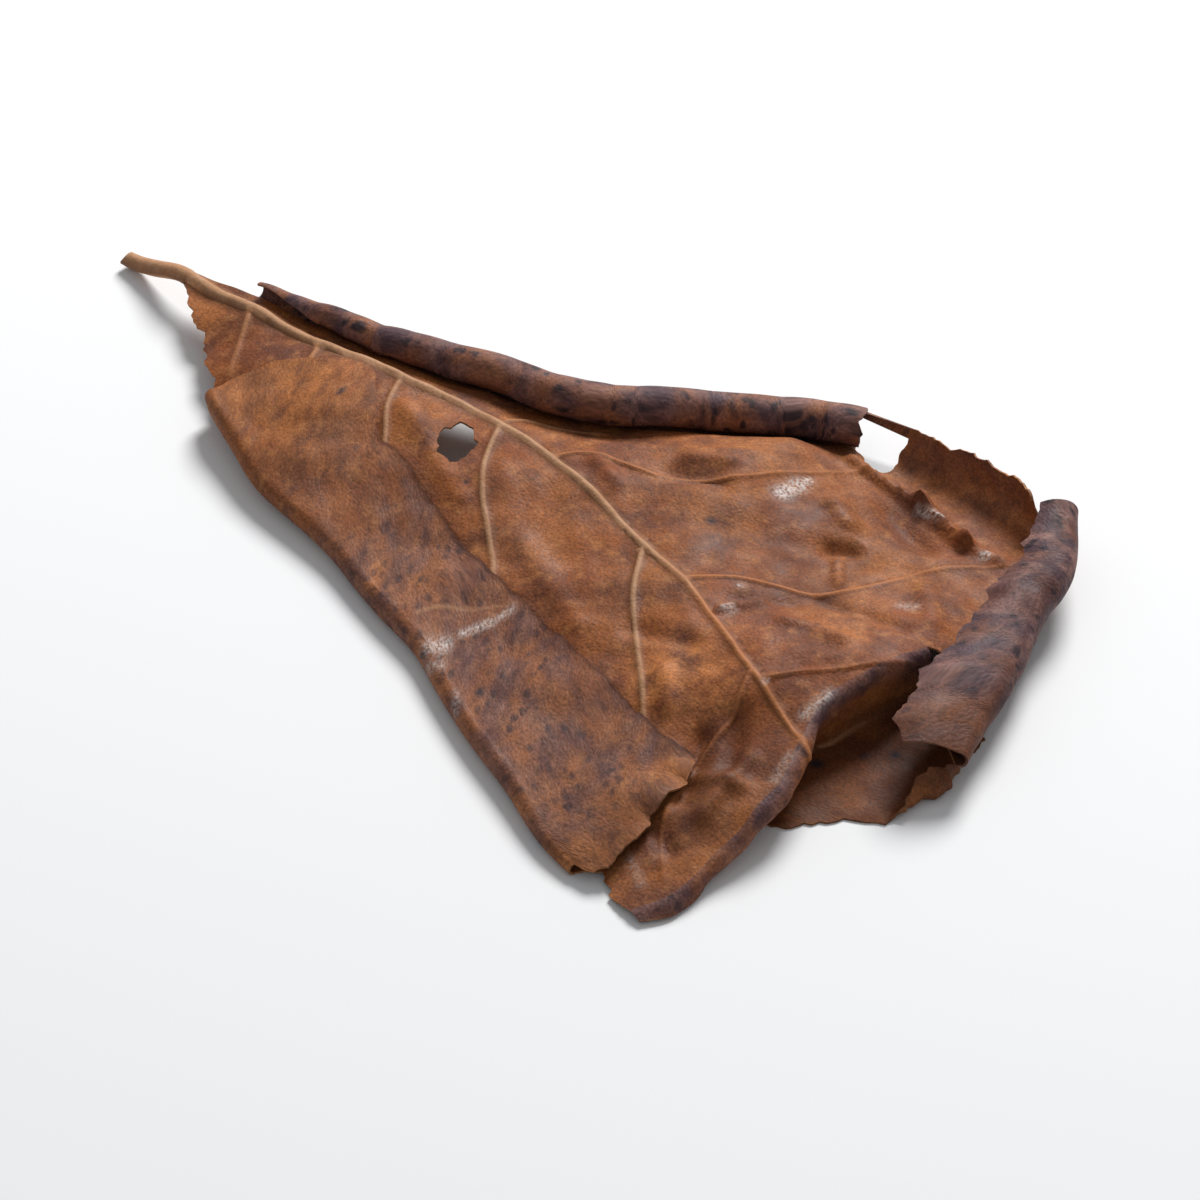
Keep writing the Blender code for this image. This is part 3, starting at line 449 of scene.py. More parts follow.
def free_points(outline, hole):
    """Even lattice of triangles inside the blade, clear of its edges and ribs."""
    low, high = outline.min(axis=0), outline.max(axis=0)
    lattice = []
    for row, y in enumerate(np.arange(low[1], high[1], MESH_STEP * math.sqrt(3) / 2)):
        for x in np.arange(low[0], high[0], MESH_STEP):
            lattice.append((x + (row % 2) * MESH_STEP / 2, y))
    lattice = np.array(lattice)
    keep = clear_of_edges(lattice, outline, hole, EDGE_CLEARANCE * MESH_STEP)
    clearance = RIB_CLEARANCE * MESH_STEP
    keep &= distance_to_line(lattice, MIDRIB_LINE)[0] > midrib_size(lattice[:, 0])[0] + clearance
    for line in SIDE_RIB_LINES:
        keep &= distance_to_line(lattice, line)[0] > SIDE_RIB_HALF_WIDTH + clearance
    return lattice[keep]


def open_blade(sheet):
    """Triangulate the blade between its edges; give back the points of each folded edge."""
    outline, spans = blade_outline()
    hole = hole_outline()
    held, edges = held_points(outline, hole)
    plan = np.vstack((held, free_points(outline, hole)))
    result = delaunay_2d_cdt([Vector(point) for point in plan], edges, [], 0, MERGE_DISTANCE)
    points, faces, sources = np.array(result[0]), np.array(result[2]), result[3]
    middle = points[faces].mean(axis=1)
    faces = faces[inside(middle, outline) & ~inside(middle, hole)]
    first, second, third = (points[faces[:, k]] for k in range(3))
    a, b = second - first, third - first
    anticlockwise = a[:, 0] * b[:, 1] > a[:, 1] * b[:, 0]
    faces = np.where(anticlockwise[:, None], faces, faces[:, ::-1])
    used = np.unique(faces)
    number = {k: sheet.add(point, points[k], "blade") for k, point in zip(used, blade_point(points[used]))}
    sheet.triangles += [tuple(number[k] for k in face) for face in faces]
    place = {old: number[new] for new, olds in enumerate(sources) for old in olds if new in number}
    return {name: [place[k] for k in spans[name]] for name in FOLDED_EDGES}


sheet = Sheet()
folded_edges = open_blade(sheet)

# Left margin: blade tissue that folded right over while it was still soft and dried flat
# on the blade, so it shows the leaf's other face. Its lower end is torn.
LEFT_FREE_EDGE = [
    (-88.4, -21.5), (-85.5, -15.5), (-79, -8.2), (-70.4, -3.6), (-64, -7.4), (-58.6, -10.9), (-50, -11.9),
    (-40, -13.6), (-27.5, -15.5), (-12.3, -16.4), (6, -17.6), (16.5, -18.3), (28, -19), (33.6, -19.2),
    (37.8, -17.7),
]
LEFT_FOLD_RADIUS = 2.1
LEFT_FOLD_RADIUS_LEAST = 1.1
LEFT_FOLD_RADIUS_PER_WIDTH = 0.12
LEFT_FOLD_ROWS = 14
LEFT_EDGE_LIFT = [(-90, 1.15), (-56, 1.1), (-46, 0.62), (38, 0.62)]
LEFT_END_LIFT = 1.3
LEFT_END_LIFT_EASE = 3
LEFT_FLAP_SETTLING = 1.6
LEFT_END_PINCH = 0.5
LEFT_END_FRAY = 0.65
LEFT_EDGE_FRAY = 0.35
LEFT_TORN_END = [(0, 0), (0.06, 3.6), (0.14, 5.4), (0.3, 5.6), (0.6, 4.7), (0.8, 3.7), (0.93, 1.9), (1, 0)]
TORN_END_REACH = 0.16
TORN_END_EASE = 1.5
SECTION_SUBSTEPS = 24
TURN_WEIGHT = 1.2


def band_line(keys):
    """Edge points of a band on the blade, with the blade's outward direction and normal there."""
    line = blade_point(points_along(keys)[:, :2])
    up = blade_normal(line[:, :2])
    out = np.c_[outward_in_plan(line), np.zeros(len(line))]
    return line, square_to(out, up), up


def square_to(out, up):
    """Directions turned to stand square to the normals."""
    return unit(out - up * (out * up).sum(axis=1, keepdims=True))


def section_rows(line, out, up, heading, pieces, count):
    """Rows of a band whose section is a chain of straight and round pieces, each a length and a turn.

    Rows are closer together where the section turns. Gives the rows and the run of each from the line.
    """
    place, run, weight = line, np.zeros(len(line)), np.zeros(len(line))
    places, runs, weights = [place], [run], [weight]
    for length, turn in pieces:
        step, bend = length / SECTION_SUBSTEPS, turn / SECTION_SUBSTEPS
        chord = step * np.sinc(bend / (2 * math.pi))
        for _ in range(SECTION_SUBSTEPS):
            middle = heading + bend / 2
            place = place + (out * np.cos(middle)[:, None] + up * np.sin(middle)[:, None]) * chord[:, None]
            heading = heading + bend
            run = run + step
            weight = weight + step + TURN_WEIGHT * np.abs(bend)
            places.append(place)
            runs.append(run)
            weights.append(weight)
    tracks = np.dstack((places, np.array(runs)[:, :, None]))
    rows = np.zeros((count, len(line), 4))
    for k, weight in enumerate(np.transpose(weights)):
        wanted = np.arange(1, count + 1) / count * weight[-1]
        for column in range(4):
            rows[:, k, column] = np.interp(wanted, weight, tracks[:, k, column])
    return rows[:, :, :3], rows[:, :, 3]


def flat_rows(line, out, runs):
    """Places on the flattened leaf of rows that lie the given runs beyond a line."""
    return [line[:, :2] + out[:, :2] * run[:, None] for run in runs]


def left_flap(sheet, edge):
    """A tight round fold, then a flap that lies on the blade; gives the points of its free edge."""
    line, out, up = band_line(LEFT_FOLD)
    run = line_run(line)
    share_along = run / run[-1]
    free = matched_points(LEFT_FREE_EDGE, len(line))
    reach = free - line[:, :2]
    width = np.linalg.norm(reach, axis=1)
    reach *= (1 + LEFT_EDGE_FRAY * fray(run, seed=1) / width)[:, None]

    near_end = np.clip((share_along - 1 + TORN_END_REACH) / TORN_END_REACH, 0, 1) ** TORN_END_EASE
    radius = np.minimum(LEFT_FOLD_RADIUS, LEFT_FOLD_RADIUS_LEAST + LEFT_FOLD_RADIUS_PER_WIDTH * width)
    radius = radius * (1 - LEFT_END_PINCH * near_end)
    still = np.zeros(len(line))
    rows, runs = section_rows(line, out, up, still, [(math.pi * radius, still + math.pi)], LEFT_FOLD_ROWS)
    rows, runs = list(rows), list(runs)

    edge_lift = table(LEFT_EDGE_LIFT, free[:, 0]) + LEFT_END_LIFT * share_along ** LEFT_END_LIFT_EASE
    along = unit(np.gradient(line[:, :2], axis=0))
    flap_rows = round(width.max() / MESH_STEP)
    for share in np.arange(1, flap_rows + 1) / flap_rows:
        bulge = near_end * (table(LEFT_TORN_END, share) + LEFT_END_FRAY * fray(share * width[-1], seed=2))
        plan = line[:, :2] + reach * share + along * bulge[:, None]
        lift = edge_lift + (2 * radius - edge_lift) * (1 - share) ** LEFT_FLAP_SETTLING
        rows.append(blade_point(plan) + blade_normal(plan) * lift[:, None])
        runs.append(math.pi * radius + width * share)
    return sheet.add_band(edge, rows, flat_rows(line, out, runs), "left flap")[-1]


flap_edge = left_flap(sheet, folded_edges["left"])

# Tip: it bent down over a crest, in places back under the blade, and out again as a lower
# layer that lies on the ground, with a small curl at its front.
CREST_TURN_DOWN = [
    (-45, 12), (-38, 60), (-30, 125), (-22, 175), (-14, 175), (-6, 140), (1, 112), (6, 101), (30, 97),
]
CREST_RADIUS = [(-45, 4), (-38, 2), (-30, 1.6), (-18, 2.1), (-6, 2.1), (2, 1.7), (8, 1.5), (30, 1.5)]
TUCK_BACK = [(-45, 0.8), (-30, 2), (-22, 4), (-12, 7), (-4, 6.5), (4, 8), (30, 8)]
CREST_TURN_OUT = [(-26, 0), (-22, 0.3), (-18, 0.73), (-14, 1), (30, 1)]
TUCK_FRONT = [
    (-18, 50), (-14.6, 53.7), (-6.3, 59.1), (0, 63.6), (2.5, 65.4), (6, 65.4), (10, 66.4), (14, 66),
    (18, 63.6), (27, 60),
]
LOW_RADIUS_LEAST = 0.7
LOW_RADIUS_SLACK = 0.05
TIP_CURL = [(1, 0), (7, 4.5), (12, 7.5), (16, 5), (22, 0)]
TIP_CURL_RADIUS = 1.7
CURL_TURN_MOST = 140
TIP_ROWS = 66

# Least and most values that keep the tip's section sound where the crest leaves it little room
FALL_LEAST = 0.02
ROOM_LEAST = 0.1
DROP_LEAST = 0.5
SHORT_END_LEAST = 0.2
SHORT_END_MOST = 1
FRONT_LEAST = 1
LEVEL_WITHIN = 0.01


def folded_tip(sheet, edge):
    """Tip that turns down over the crest as a wall, or back under it, and out again on the ground."""
    line, _, up = band_line(CREST)
    y = line[:, 1]
    start = np.arctan2(-up[:, 0], up[:, 2])
    radius = table(CREST_RADIUS, y)
    slope = np.radians(table(CREST_TURN_DOWN, y))
    turn_down = slope + start

    # Height under the crest, and how far down or back the sheet may run before it would reach the ground
    under = line[:, 2] + radius * (np.cos(slope) - np.cos(start))
    fall = np.maximum(np.sin(slope), FALL_LEAST)
    room = np.maximum(under - REST - 2 * LOW_RADIUS_LEAST, ROOM_LEAST)
    back = np.minimum(table(TUCK_BACK, y), room / fall)
    under = under - back * np.sin(slope)
    behind = line[:, 0] + radius * (np.sin(slope) + np.sin(start)) + back * np.cos(slope)

    # Second turn, which brings the sheet out again; it is left out where there is no room for it
    low_radius = np.maximum((under - REST) / np.maximum(1 - np.cos(slope), DROP_LEAST), ROOM_LEAST)
    turn_out = slope * table(CREST_TURN_OUT, y)
    turn_out = np.where(low_radius < LOW_RADIUS_LEAST - LOW_RADIUS_SLACK, 0, turn_out)
    left_over = slope - turn_out
    above_ground = under - low_radius * (np.cos(left_over) - np.cos(slope)) - REST
    short_end = np.maximum(above_ground, SHORT_END_LEAST) / np.maximum(np.sin(left_over), FALL_LEAST)
    short_end = np.minimum(short_end, SHORT_END_MOST)
    behind = behind + low_radius * (np.sin(slope) - np.sin(left_over))
    curl = table(TIP_CURL, y)
    curl_turn = np.minimum(curl / TIP_CURL_RADIUS, math.radians(CURL_TURN_MOST))
    curl_reach = TIP_CURL_RADIUS * np.sin(np.minimum(curl_turn, math.pi / 2))
    front = np.maximum(table(TUCK_FRONT, y) + fray(y, seed=3) - curl_reach - behind, FRONT_LEAST)
    forward = np.where(left_over < LEVEL_WITHIN, front, short_end)

    still = np.zeros(len(line))
    pieces = [(radius * turn_down, -turn_down), (back, still)]
    pieces += [(low_radius * turn_out, turn_out), (forward, still)]
    pieces += [(TIP_CURL_RADIUS * curl_turn, curl_turn), (curl - TIP_CURL_RADIUS * curl_turn, still)]
    ahead = np.tile((1.0, 0.0, 0.0), (len(line), 1))
    upright = np.tile((0.0, 0.0, 1.0), (len(line), 1))
    rows, runs = section_rows(line, ahead, upright, start, pieces, TIP_ROWS)
    rows[:, :, 2] = np.maximum(rows[:, :, 2], REST)
    sheet.add_band(edge, rows, flat_rows(line, ahead, runs), "tip")


folded_tip(sheet, folded_edges["crest"])

# End margin: folded over like a half-closed scroll, so it too shows the other face.
END_FOLD_RADIUS = [(0, 1.4), (0.12, 2.5), (0.3, 3.6), (0.7, 3.6), (1, 2.1)]
END_FREE_EDGE = [
    (59, 9.8, 9.2), (53.8, 13.5, 10), (51.6, 18, 9.6), (47.3, 26.9, 9.6), (45.6, 34, 9.5), (41.1, 43.1, 9.2),
    (37.4, 53.7, 9.8), (33, 61.8, 10.4), (29.5, 66.2, 10.8),
]
END_FLAP_ARCH = 0.1
END_UPRIGHT_FROM = 0.6
END_UPRIGHT_TO = 0.9
END_FRAY_FADE = 0.15
END_FOLD_ROWS = 18
END_FLAP_ROWS = 20


def end_flap(sheet, edge):
    """End margin folded over, open like a half-closed scroll."""
    line, out, up = band_line(END_FOLD)
    run = line_run(line)
    share_along = run / run[-1]
    upright = np.clip((share_along - END_UPRIGHT_FROM) / (END_UPRIGHT_TO - END_UPRIGHT_FROM), 0, 1)[:, None]
    up = unit(up * (1 - upright) + np.array((0, 0, 1.0)) * upright)
    out = square_to(out, up)
    radius = table(END_FOLD_RADIUS, share_along)
    still = np.zeros(len(line))
    rows, runs = section_rows(line, out, up, still, [(radius * math.pi, still + math.pi)], END_FOLD_ROWS)
    rows, runs = list(rows), list(runs)

    free = matched_points(END_FREE_EDGE, len(line))
    fading = np.clip((1 - share_along) / END_FRAY_FADE, 0, 1)
    free[:, :2] -= out[:, :2] * (fray(run, seed=4) * fading)[:, None]
    top = rows[-1]
    reach = np.linalg.norm(free - top, axis=1)
    for share in np.arange(1, END_FLAP_ROWS + 1) / END_FLAP_ROWS:
        arch = END_FLAP_ARCH * math.sin(math.pi * share) * reach
        rows.append(top + (free - top) * share + np.outer(arch, (0, 0, 1)))
        runs.append(radius * math.pi + reach * share)
    sheet.add_band(edge, rows, flat_rows(line, out, runs), "end flap")


end_flap(sheet, folded_edges["end"])

# Far margin: near the tip a short stretch only turned up, then the edge is torn away and
# a narrow strip bridges the gap, and from there to the stalk the margin rolled into a tube.
UPTURN_LENGTH = [(30, 8.3), (24, 9.4), (19, 10.2), (12, 10.4), (5, 10.2), (1, 10.2), (-2, 9.4)]
UPTURN_TURN = 72
UPTURN_ROUND_SHARE = 0.65
UPTURN_FRAY = 0.7
UPTURN_ROWS = 12
ROLL_RADIUS = [(-104, 1.6), (-90, 2.4), (-77, 3.0), (-65, 3.6), (-45, 4.1), (-9, 4.1)]
ROLL_TURN = [(-104, 200), (-85, 330), (-70, 400), (-20, 400), (-9, 385)]
ROLL_TIGHTENING = 0.3
ROLL_TIGHTENING_EASE = 1.3
ROLL_PIECES = 8
ROLL_ROWS = 35
TEAR_DEPTH = 0.55
TEAR_OUT_MOST = 0.75
TEAR_IN_MOST = 0.7
STRIP_ROWS = (9, 10, 11)
STRIP_SPACES = 11


def torn_back(rows, column, seed):
    """Pulls the end column of a band in and out along the band, so that its end is torn."""
    inner = column + 1 if column == 0 else column - 1
    tear = TEAR_DEPTH * fray(np.arange(len(rows)) * MESH_STEP, seed)
    tear = np.clip(tear, -TEAR_OUT_MOST, TEAR_IN_MOST)
    spread = rows[:, inner] - rows[:, column]
    rows[:, column] = rows[:, column] + spread * tear[:, None]
    return rows


def upturned_margin(sheet, edge):
    """Short stretch of margin that stands up from a low line."""
    line, out, up = band_line(UPTURN)
    still = np.zeros(len(line))
    length = table(UPTURN_LENGTH, line[:, 0]) + UPTURN_FRAY * fray(line_run(line), seed=5)
    round_part = (length * UPTURN_ROUND_SHARE, still + math.radians(UPTURN_TURN))
    straight_part = (length * (1 - UPTURN_ROUND_SHARE), still)
    rows, runs = section_rows(line, out, up, still, [round_part, straight_part], UPTURN_ROWS)
    rows = torn_back(rows, len(line) - 1, seed=8)
    return sheet.add_band(edge, rows, flat_rows(line, out, runs), "upturn")


def rolled_margin(sheet, edge):
    """Margin rolled up into a tube: a spiral of a little more than one turn."""
    line, out, up = band_line(ROLL)
    radius = table(ROLL_RADIUS, line[:, 0])
    turn = np.radians(table(ROLL_TURN, line[:, 0])) / ROLL_PIECES
    pieces = []
    for k in range(ROLL_PIECES):
        share = (k + 0.5) / ROLL_PIECES
        tightened = radius * (1 - ROLL_TIGHTENING * share ** ROLL_TIGHTENING_EASE)
        pieces.append((tightened * turn, turn))
    rows, runs = section_rows(line, out, up, np.zeros(len(line)), pieces, ROLL_ROWS)
    rows = torn_back(rows, 0, seed=9)
    return sheet.add_band(edge, rows, flat_rows(line, out, runs), "roll")


def strip_over_gap(sheet, upturned, rolled):
    """Narrow strip of margin that still bridges the torn gap, from the upturned margin to the roll."""
    start = [upturned[row][-1] for row in STRIP_ROWS]
    end = [rolled[row][0] for row in STRIP_ROWS]
    columns = [start]
    for k in range(1, STRIP_SPACES):
        share = k / STRIP_SPACES
        column = []
        for a, b in zip(start, end):
            point = np.array(sheet.points[a]) * (1 - share) + np.array(sheet.points[b]) * share
            flat = np.array(sheet.flat[a]) * (1 - share) + np.array(sheet.flat[b]) * share
            column.append(sheet.add(point, flat, "strip"))
        columns.append(column)
    columns.append(end)
    for before, after in zip(columns[:-1], columns[1:]):
        sheet.join_rows(after, before)


upturned = upturned_margin(sheet, folded_edges["upturn"])
rolled = rolled_margin(sheet, folded_edges["roll"])
strip_over_gap(sheet, upturned, rolled)

# Whole leaf: the sheet gets its thickness and a rim, and its points keep where they lie
# on the flattened leaf. It grew as one piece, so it is one mesh with a material for each
# face and one for the torn rim.
PLAN_CENTRE = (-33.52, 11.28)
SHARP_ANGLE = 50


def point_normals(points, faces):
    normals = np.zeros_like(points)
    first, second, third = (points[faces[:, k]] for k in range(3))
    face_normals = np.cross(second - first, third - first)
    for corner in range(3):
        np.add.at(normals, faces[:, corner], face_normals)
    return unit(normals)


def rim_edges(faces):
    """Directed edges that only one triangle of the sheet has."""
    directed = {(face[k], face[(k + 1) % 3]) for face in faces.tolist() for k in range(3)}
    return sorted((a, b) for a, b in directed if (b, a) not in directed)


points, faces = np.array(sheet.points), np.array(sheet.triangles)
flat, part = np.array(sheet.flat), np.array(sheet.part)
normals = point_normals(points, faces)
upper_relief, lower_relief = rib_relief(flat)
top = points + normals * (REST + upper_relief)[:, None]
bottom = points - normals * (REST + lower_relief)[:, None]
body = np.vstack((top, bottom))
body[:, 2] = np.maximum(body[:, 2], 0)
count = len(points)
rim = []
for a, b in rim_edges(faces):
    rim += [(b, a, a + count), (b, a + count, b + count)]
solid = faces.tolist() + (faces[:, ::-1] + count).tolist() + rim

leaf_mesh = bpy.data.meshes.new("dry_leaf_blade")
leaf_mesh.from_pydata(((body - (*PLAN_CENTRE, 0)) * MM).tolist(), [], solid)
leaf_mesh.shade_smooth()
leaf_mesh.set_sharp_from_angle(angle=math.radians(SHARP_ANGLE))
face_kind = np.repeat((0, 1, 2), (len(faces), len(faces), len(rim)))
leaf_mesh.polygons.foreach_set("material_index", face_kind)


def give_points(name, values):
    """One number for each point of the sheet, kept on both sides of the leaf."""
    layer = leaf_mesh.attributes.new(name, "FLOAT", "POINT")
    layer.data.foreach_set("value", np.tile(values, 2).astype(np.float32))


place = leaf_mesh.attributes.new("place", "FLOAT_VECTOR", "POINT")
place.data.foreach_set("vector", np.tile(np.c_[flat, np.zeros(count)], (2, 1)).astype(np.float32).ravel())

# Marks on the leaf: cords of vein, a greyer bloom where the upper face weathered, darker
# and paler patches, and whitish scuffs where the wax rubbed off. Painted shade and light
# are among them: dark lines at the feet of the raised cords and along the left flap's edge,
# and a lilac sheen along the crest in the bloom. Places, reaches and radii are millimetres
# on the flattened leaf.
MIDRIB_COLOUR_WIDTH = 0.85
MIDRIB_PALE = [(-2, 1), (16, 0.35)]
CORD_FADING = 0.6

# Share of a cord and of the painted shade line at its foot, by the distance from its middle in half widths
CORD_SIDES = [(6 / 11, 1), (16 / 11, 0)]
CORD_FOOT_SHADE = [(0, 0), (1, 1), (2, 1), (3, 0)]

# Half width, paleness and strength of each side rib's colour, in the order of SIDE_RIBS
RIB_COLOURS = [
    (0.46, 1.0, 0.9), (0.46, 1.0, 1.0), (0.46, 1.0, 1.0), (0.36, 0.3, 0.4), (0.4, 0.8, 0.7), (0.36, 0.3, 0.7),
    (0.4, 0.25, 0.9), (0.35, 0.2, 0.25), (0.5, 0.6, 0.8), (0.5, 0.6, 0.8),
]

# Veins that are only colour: the line of each, then the same three values
FLAT_VEINS = [
    ([(21.5, 27.5), (17.5, 31), (12.5, 36.5)], 0.32, 0.2, 0.6),
    ([(-19.1, -42.4), (-15, -52), (-8.6, -62.1)], 0.3, 0.9, 0.55),
    ([(-46, -31), (-41, -44), (-37, -56)], 0.35, 0.4, 0.3),
    ([(38, -44), (37, -54), (33, -64)], 0.3, 0.4, 0.25),
    ([(57.2, 4.5), (56.9, 14)], 0.4, 0.9, 0.5),
]

# Painted shadow: a dark line along the left flap's free edge, where it lies on the blade, which fades out
# towards the stalk
FLAP_SHADOW_HALF_WIDTH = 0.5
FLAP_SHADOW_STRENGTH = 1.8
FLAP_SHADOW_FROM = [(-60, 0), (-54, 1)]

# Bloom of each part, then where it comes on gradually: down the left flap, on the wall under
# the crest by how far below it, and on the low end of the end flap. On the crest and the top
# of the wall it is partly the purple stain of the fold and partly a painted lilac sheen.
BLOOM_OF_PART = {"blade": 0.04, "upturn": 0.25, "strip": 0.5, "end flap": 1, "roll": 1}
LEFT_FLAP_BLOOM = [(-66, 0), (-21, 0.55), (34, 0.55), (39, 0)]
CREST_SHEEN_AND_WALL_BLOOM = [(1.5, 0.85), (5.75, 0)]
LOW_END_Y = 34
LOW_END_BLOOM = [(34, 0.95), (27.7, 0.25)]

# Tone of the parts brighter or, if negative, darker than the blade, and of the wall going down
TONE_OF_PART = {"upturn": 0.35, "strip": -0.4, "end flap": -0.85}
WALL_TONE = [(8, 0), (12.25, -0.85)]

# Darker and paler patches: place, reach and tone
TONE_PATCHES = [
    (43, -17, 9, -0.95), (50, -27, 6, -0.4), (25, -10, 10, 1.1), (-14, -6, 10, 0.3), (21, 23, 7, -0.4),
    (8, 38, 28, -0.2), (-15, -48, 8, 0.6), (2, -4, 12, -0.12), (33, 20, 8, 0.25), (38, -60, 5, -0.35),
    (68, 24, 10, -1.3), (-74, -50, 13, 0.6), (14, 37, 4, -0.2), (18, 12, 5, -0.45), (34, 36, 7, 0.15),
    (-5, 20, 10, -0.1),
]

# Dark dots: place and radius, and how their share falls with the distance in radii
DOTS = [
    (60.4, 1.3, 1.1), (66, 13, 0.9), (63, 9, 0.6), (-2.3, 18.9, 0.8), (-66, -54, 1.0), (2, -49, 0.9),
    (31, 15, 0.5), (-38, -7, 0.6),
]
SOFT_EDGE = [(0.5, 1), (1.5, 0)]

# Whitish scuffs: both ends, reach and strength
SCUFFS = [
    ((-1.8, 34), (-2.2, 38.5), 1.5, 1.0), ((-2.2, 37), (-2.6, 41), 0.8, 0.9),
    ((-11.6, -49), (-9, -56), 0.8, 0.75), ((-9, -56), (-8.2, -61), 0.6, 0.65),
    ((-13, -41), (-11.4, -45), 1.7, 0.75), ((-9, -40), (-8, -43), 1.2, 0.5),
    ((11, 54.6), (16, 55.6), 0.7, 0.6), ((28.4, 54.6), (29, 55), 0.8, 0.9),
    ((18, 5.8), (18.4, 6.3), 1.0, 0.7), ((36.6, -1.5), (36.9, -1.1), 0.4, 0.9),
    ((32.6, 32.4), (33.8, 33.6), 1.4, 0.4), ((45.6, 0), (44.8, 6), 0.9, 0.6),
    ((52.8, -12), (50.5, -7), 0.8, 0.4), ((-1, -44), (3, -42.6), 0.7, 0.4),
    ((47.5, -38), (53, -40), 0.9, 0.25), ((13.6, 12.2), (13.9, 12.5), 0.4, 0.7),
    ((-20, -7), (-10, -8), 2.2, 0.1),
]


def in_cord(line, half_width):
    """Share of each place in a cord and in the painted shade line at its foot, and how far along the cord it
    is.
    """
    gap, along = distance_to_line(flat, np.array(line, float))
    return table(CORD_SIDES, gap / half_width), table(CORD_FOOT_SHADE, gap / half_width), along


def vein_marks():
    """Share of each place in a vein, the vein's paleness, and its share in the painted shade line at a foot.
    """
    vein, shade_lines, _ = in_cord(MIDRIB_LINE, MIDRIB_COLOUR_WIDTH * midrib_size(flat[:, 0])[0])
    pale = table(MIDRIB_PALE, flat[:, 0])
    cords = [(line, *colours) for line, colours in zip(SIDE_RIB_LINES, RIB_COLOURS)] + FLAT_VEINS
    for line, half_width, cord_pale, strength in cords:
        cord, foot, along = in_cord(line, half_width)
        cord = cord * strength * (1 - CORD_FADING * along ** 2)
        pale = np.where(cord > vein, cord_pale, pale)
        vein = np.maximum(vein, cord)
        shade_lines = np.maximum(shade_lines, foot * strength * (1 - along))
    return vein, pale, shade_lines


def flap_edge_shadow():
    """Painted shadow: a dark line on both sheets where the left flap's edge lies on the blade."""
    gap, _ = distance_to_line(points[:, :2], points[flap_edge, :2])
    line = table(SOFT_EDGE, gap / FLAP_SHADOW_HALF_WIDTH) * table(FLAP_SHADOW_FROM, points[:, 0])
    return FLAP_SHADOW_STRENGTH * line * np.isin(part, ("blade", "left flap"))


def down_the_wall():
    """How far in front of the crest each place lies on the flattened leaf."""
    return flat[:, 0] - table([(y, x) for x, y, _ in CREST], flat[:, 1])


def bloom_marks():
    """Strength of the slate bloom at each place, with a painted lilac sheen along the crest."""
    bloom = np.array([BLOOM_OF_PART.get(name, 0) for name in part])
    low_end = (part == "end flap") & (flat[:, 1] < LOW_END_Y)
    bloom = np.where(part == "left flap", table(LEFT_FLAP_BLOOM, flat[:, 0]), bloom)
    # Along the crest the bloom is partly the fold's purple stain and partly a painted lilac sheen
    bloom = np.where(part == "tip", table(CREST_SHEEN_AND_WALL_BLOOM, down_the_wall()), bloom)
    return np.where(low_end, table(LOW_END_BLOOM, flat[:, 1]), bloom)


def tone_marks():
    """Darker or brighter tone of each place: that of its part, then the patches."""
    tone = np.array([TONE_OF_PART.get(name, 0) for name in part])
    tone = np.where(part == "tip", table(WALL_TONE, down_the_wall()), tone)
    for x, y, reach, strength in TONE_PATCHES:
        tone = tone + strength * np.exp(-((flat[:, 0] - x) ** 2 + (flat[:, 1] - y) ** 2) / reach ** 2)
    return tone


def dot_marks():
    """Share of each place in a dark dot."""
    dot = np.zeros(count)
    for x, y, radius in DOTS:
        distance = np.hypot(flat[:, 0] - x, flat[:, 1] - y)
        dot = np.maximum(dot, table(SOFT_EDGE, distance / radius))
    return dot


def scuff_marks():
    """Share of each place in a scuff."""
    scuff = np.zeros(count)
    for start, end, reach, strength in SCUFFS:
        gap, _ = distance_to_line(flat, np.array((start, end), float))
        scuff = np.maximum(scuff, strength * np.exp(-(gap / reach) ** 2))
    return scuff


vein, vein_pale, shade_lines = vein_marks()
# The shade lines hold the painted shade at the cords' feet and the painted shadow along the left flap's edge
marks = {
    "vein": vein, "vein_pale": vein_pale, "shade_lines": np.maximum(shade_lines, flap_edge_shadow()),
    "slate": bloom_marks(), "tone": tone_marks(), "dot": dot_marks(), "scuff": scuff_marks(),
}
for name, values in marks.items():
    give_points(name, values)

# Dead leaf tissue, dried and leathery: mottled browns with a fine net of veins, a satin
# sheen, and over them the marks above. The faces differ only in their browns and spots.
TISSUE_IOR = 1.45
TISSUE_SHEEN = 0.24
ROUGHNESS = (0.54, 0.76)
FLECK = "#B87B48"
DEEP = "#4A2410"
BRIGHT = "#BE7740"
BLOOM = "#4D373C"
BLOOM_PALE = "#7D5A52"
SPOT = "#2B2127"
PALE_CORD = "#AD8260"
ORANGE_CORD = "#AC6027"
SCUFFED_WAX = "#D8CCC4"
DARKER_MOST = 0.85
BRIGHTER_MOST = 0.8
SHADE_LINE_SHARE = 0.45
GRAIN_SHARE = 0.85

# Spots in the bloom: spacing, where each fades in spacings, and how its outline is shaken
SPOT_SPACING = 2.6
SPOT_FADES = (0.2, 0.42)
SPOT_MOST = 0.9
SHAKE_SIZE = 1.3
SHAKE_REACH = 1.6

# Net of the finest veins: its mesh, the share of a mesh that its cords take, and the relief
NET_SPACING = 1.3
NET_CORD = 0.2
NET_RELIEF = 0.35
RELIEF_DEPTH = 0.06


def srgb(code):
    """Colour of a hex code, made linear."""
    channels = [int(code[k:k + 2], 16) / 255 for k in (1, 3, 5)]
    linear = [c / 12.92 if c <= 0.04045 else ((c + 0.055) / 1.055) ** 2.4 for c in channels]
    return (*linear, 1)


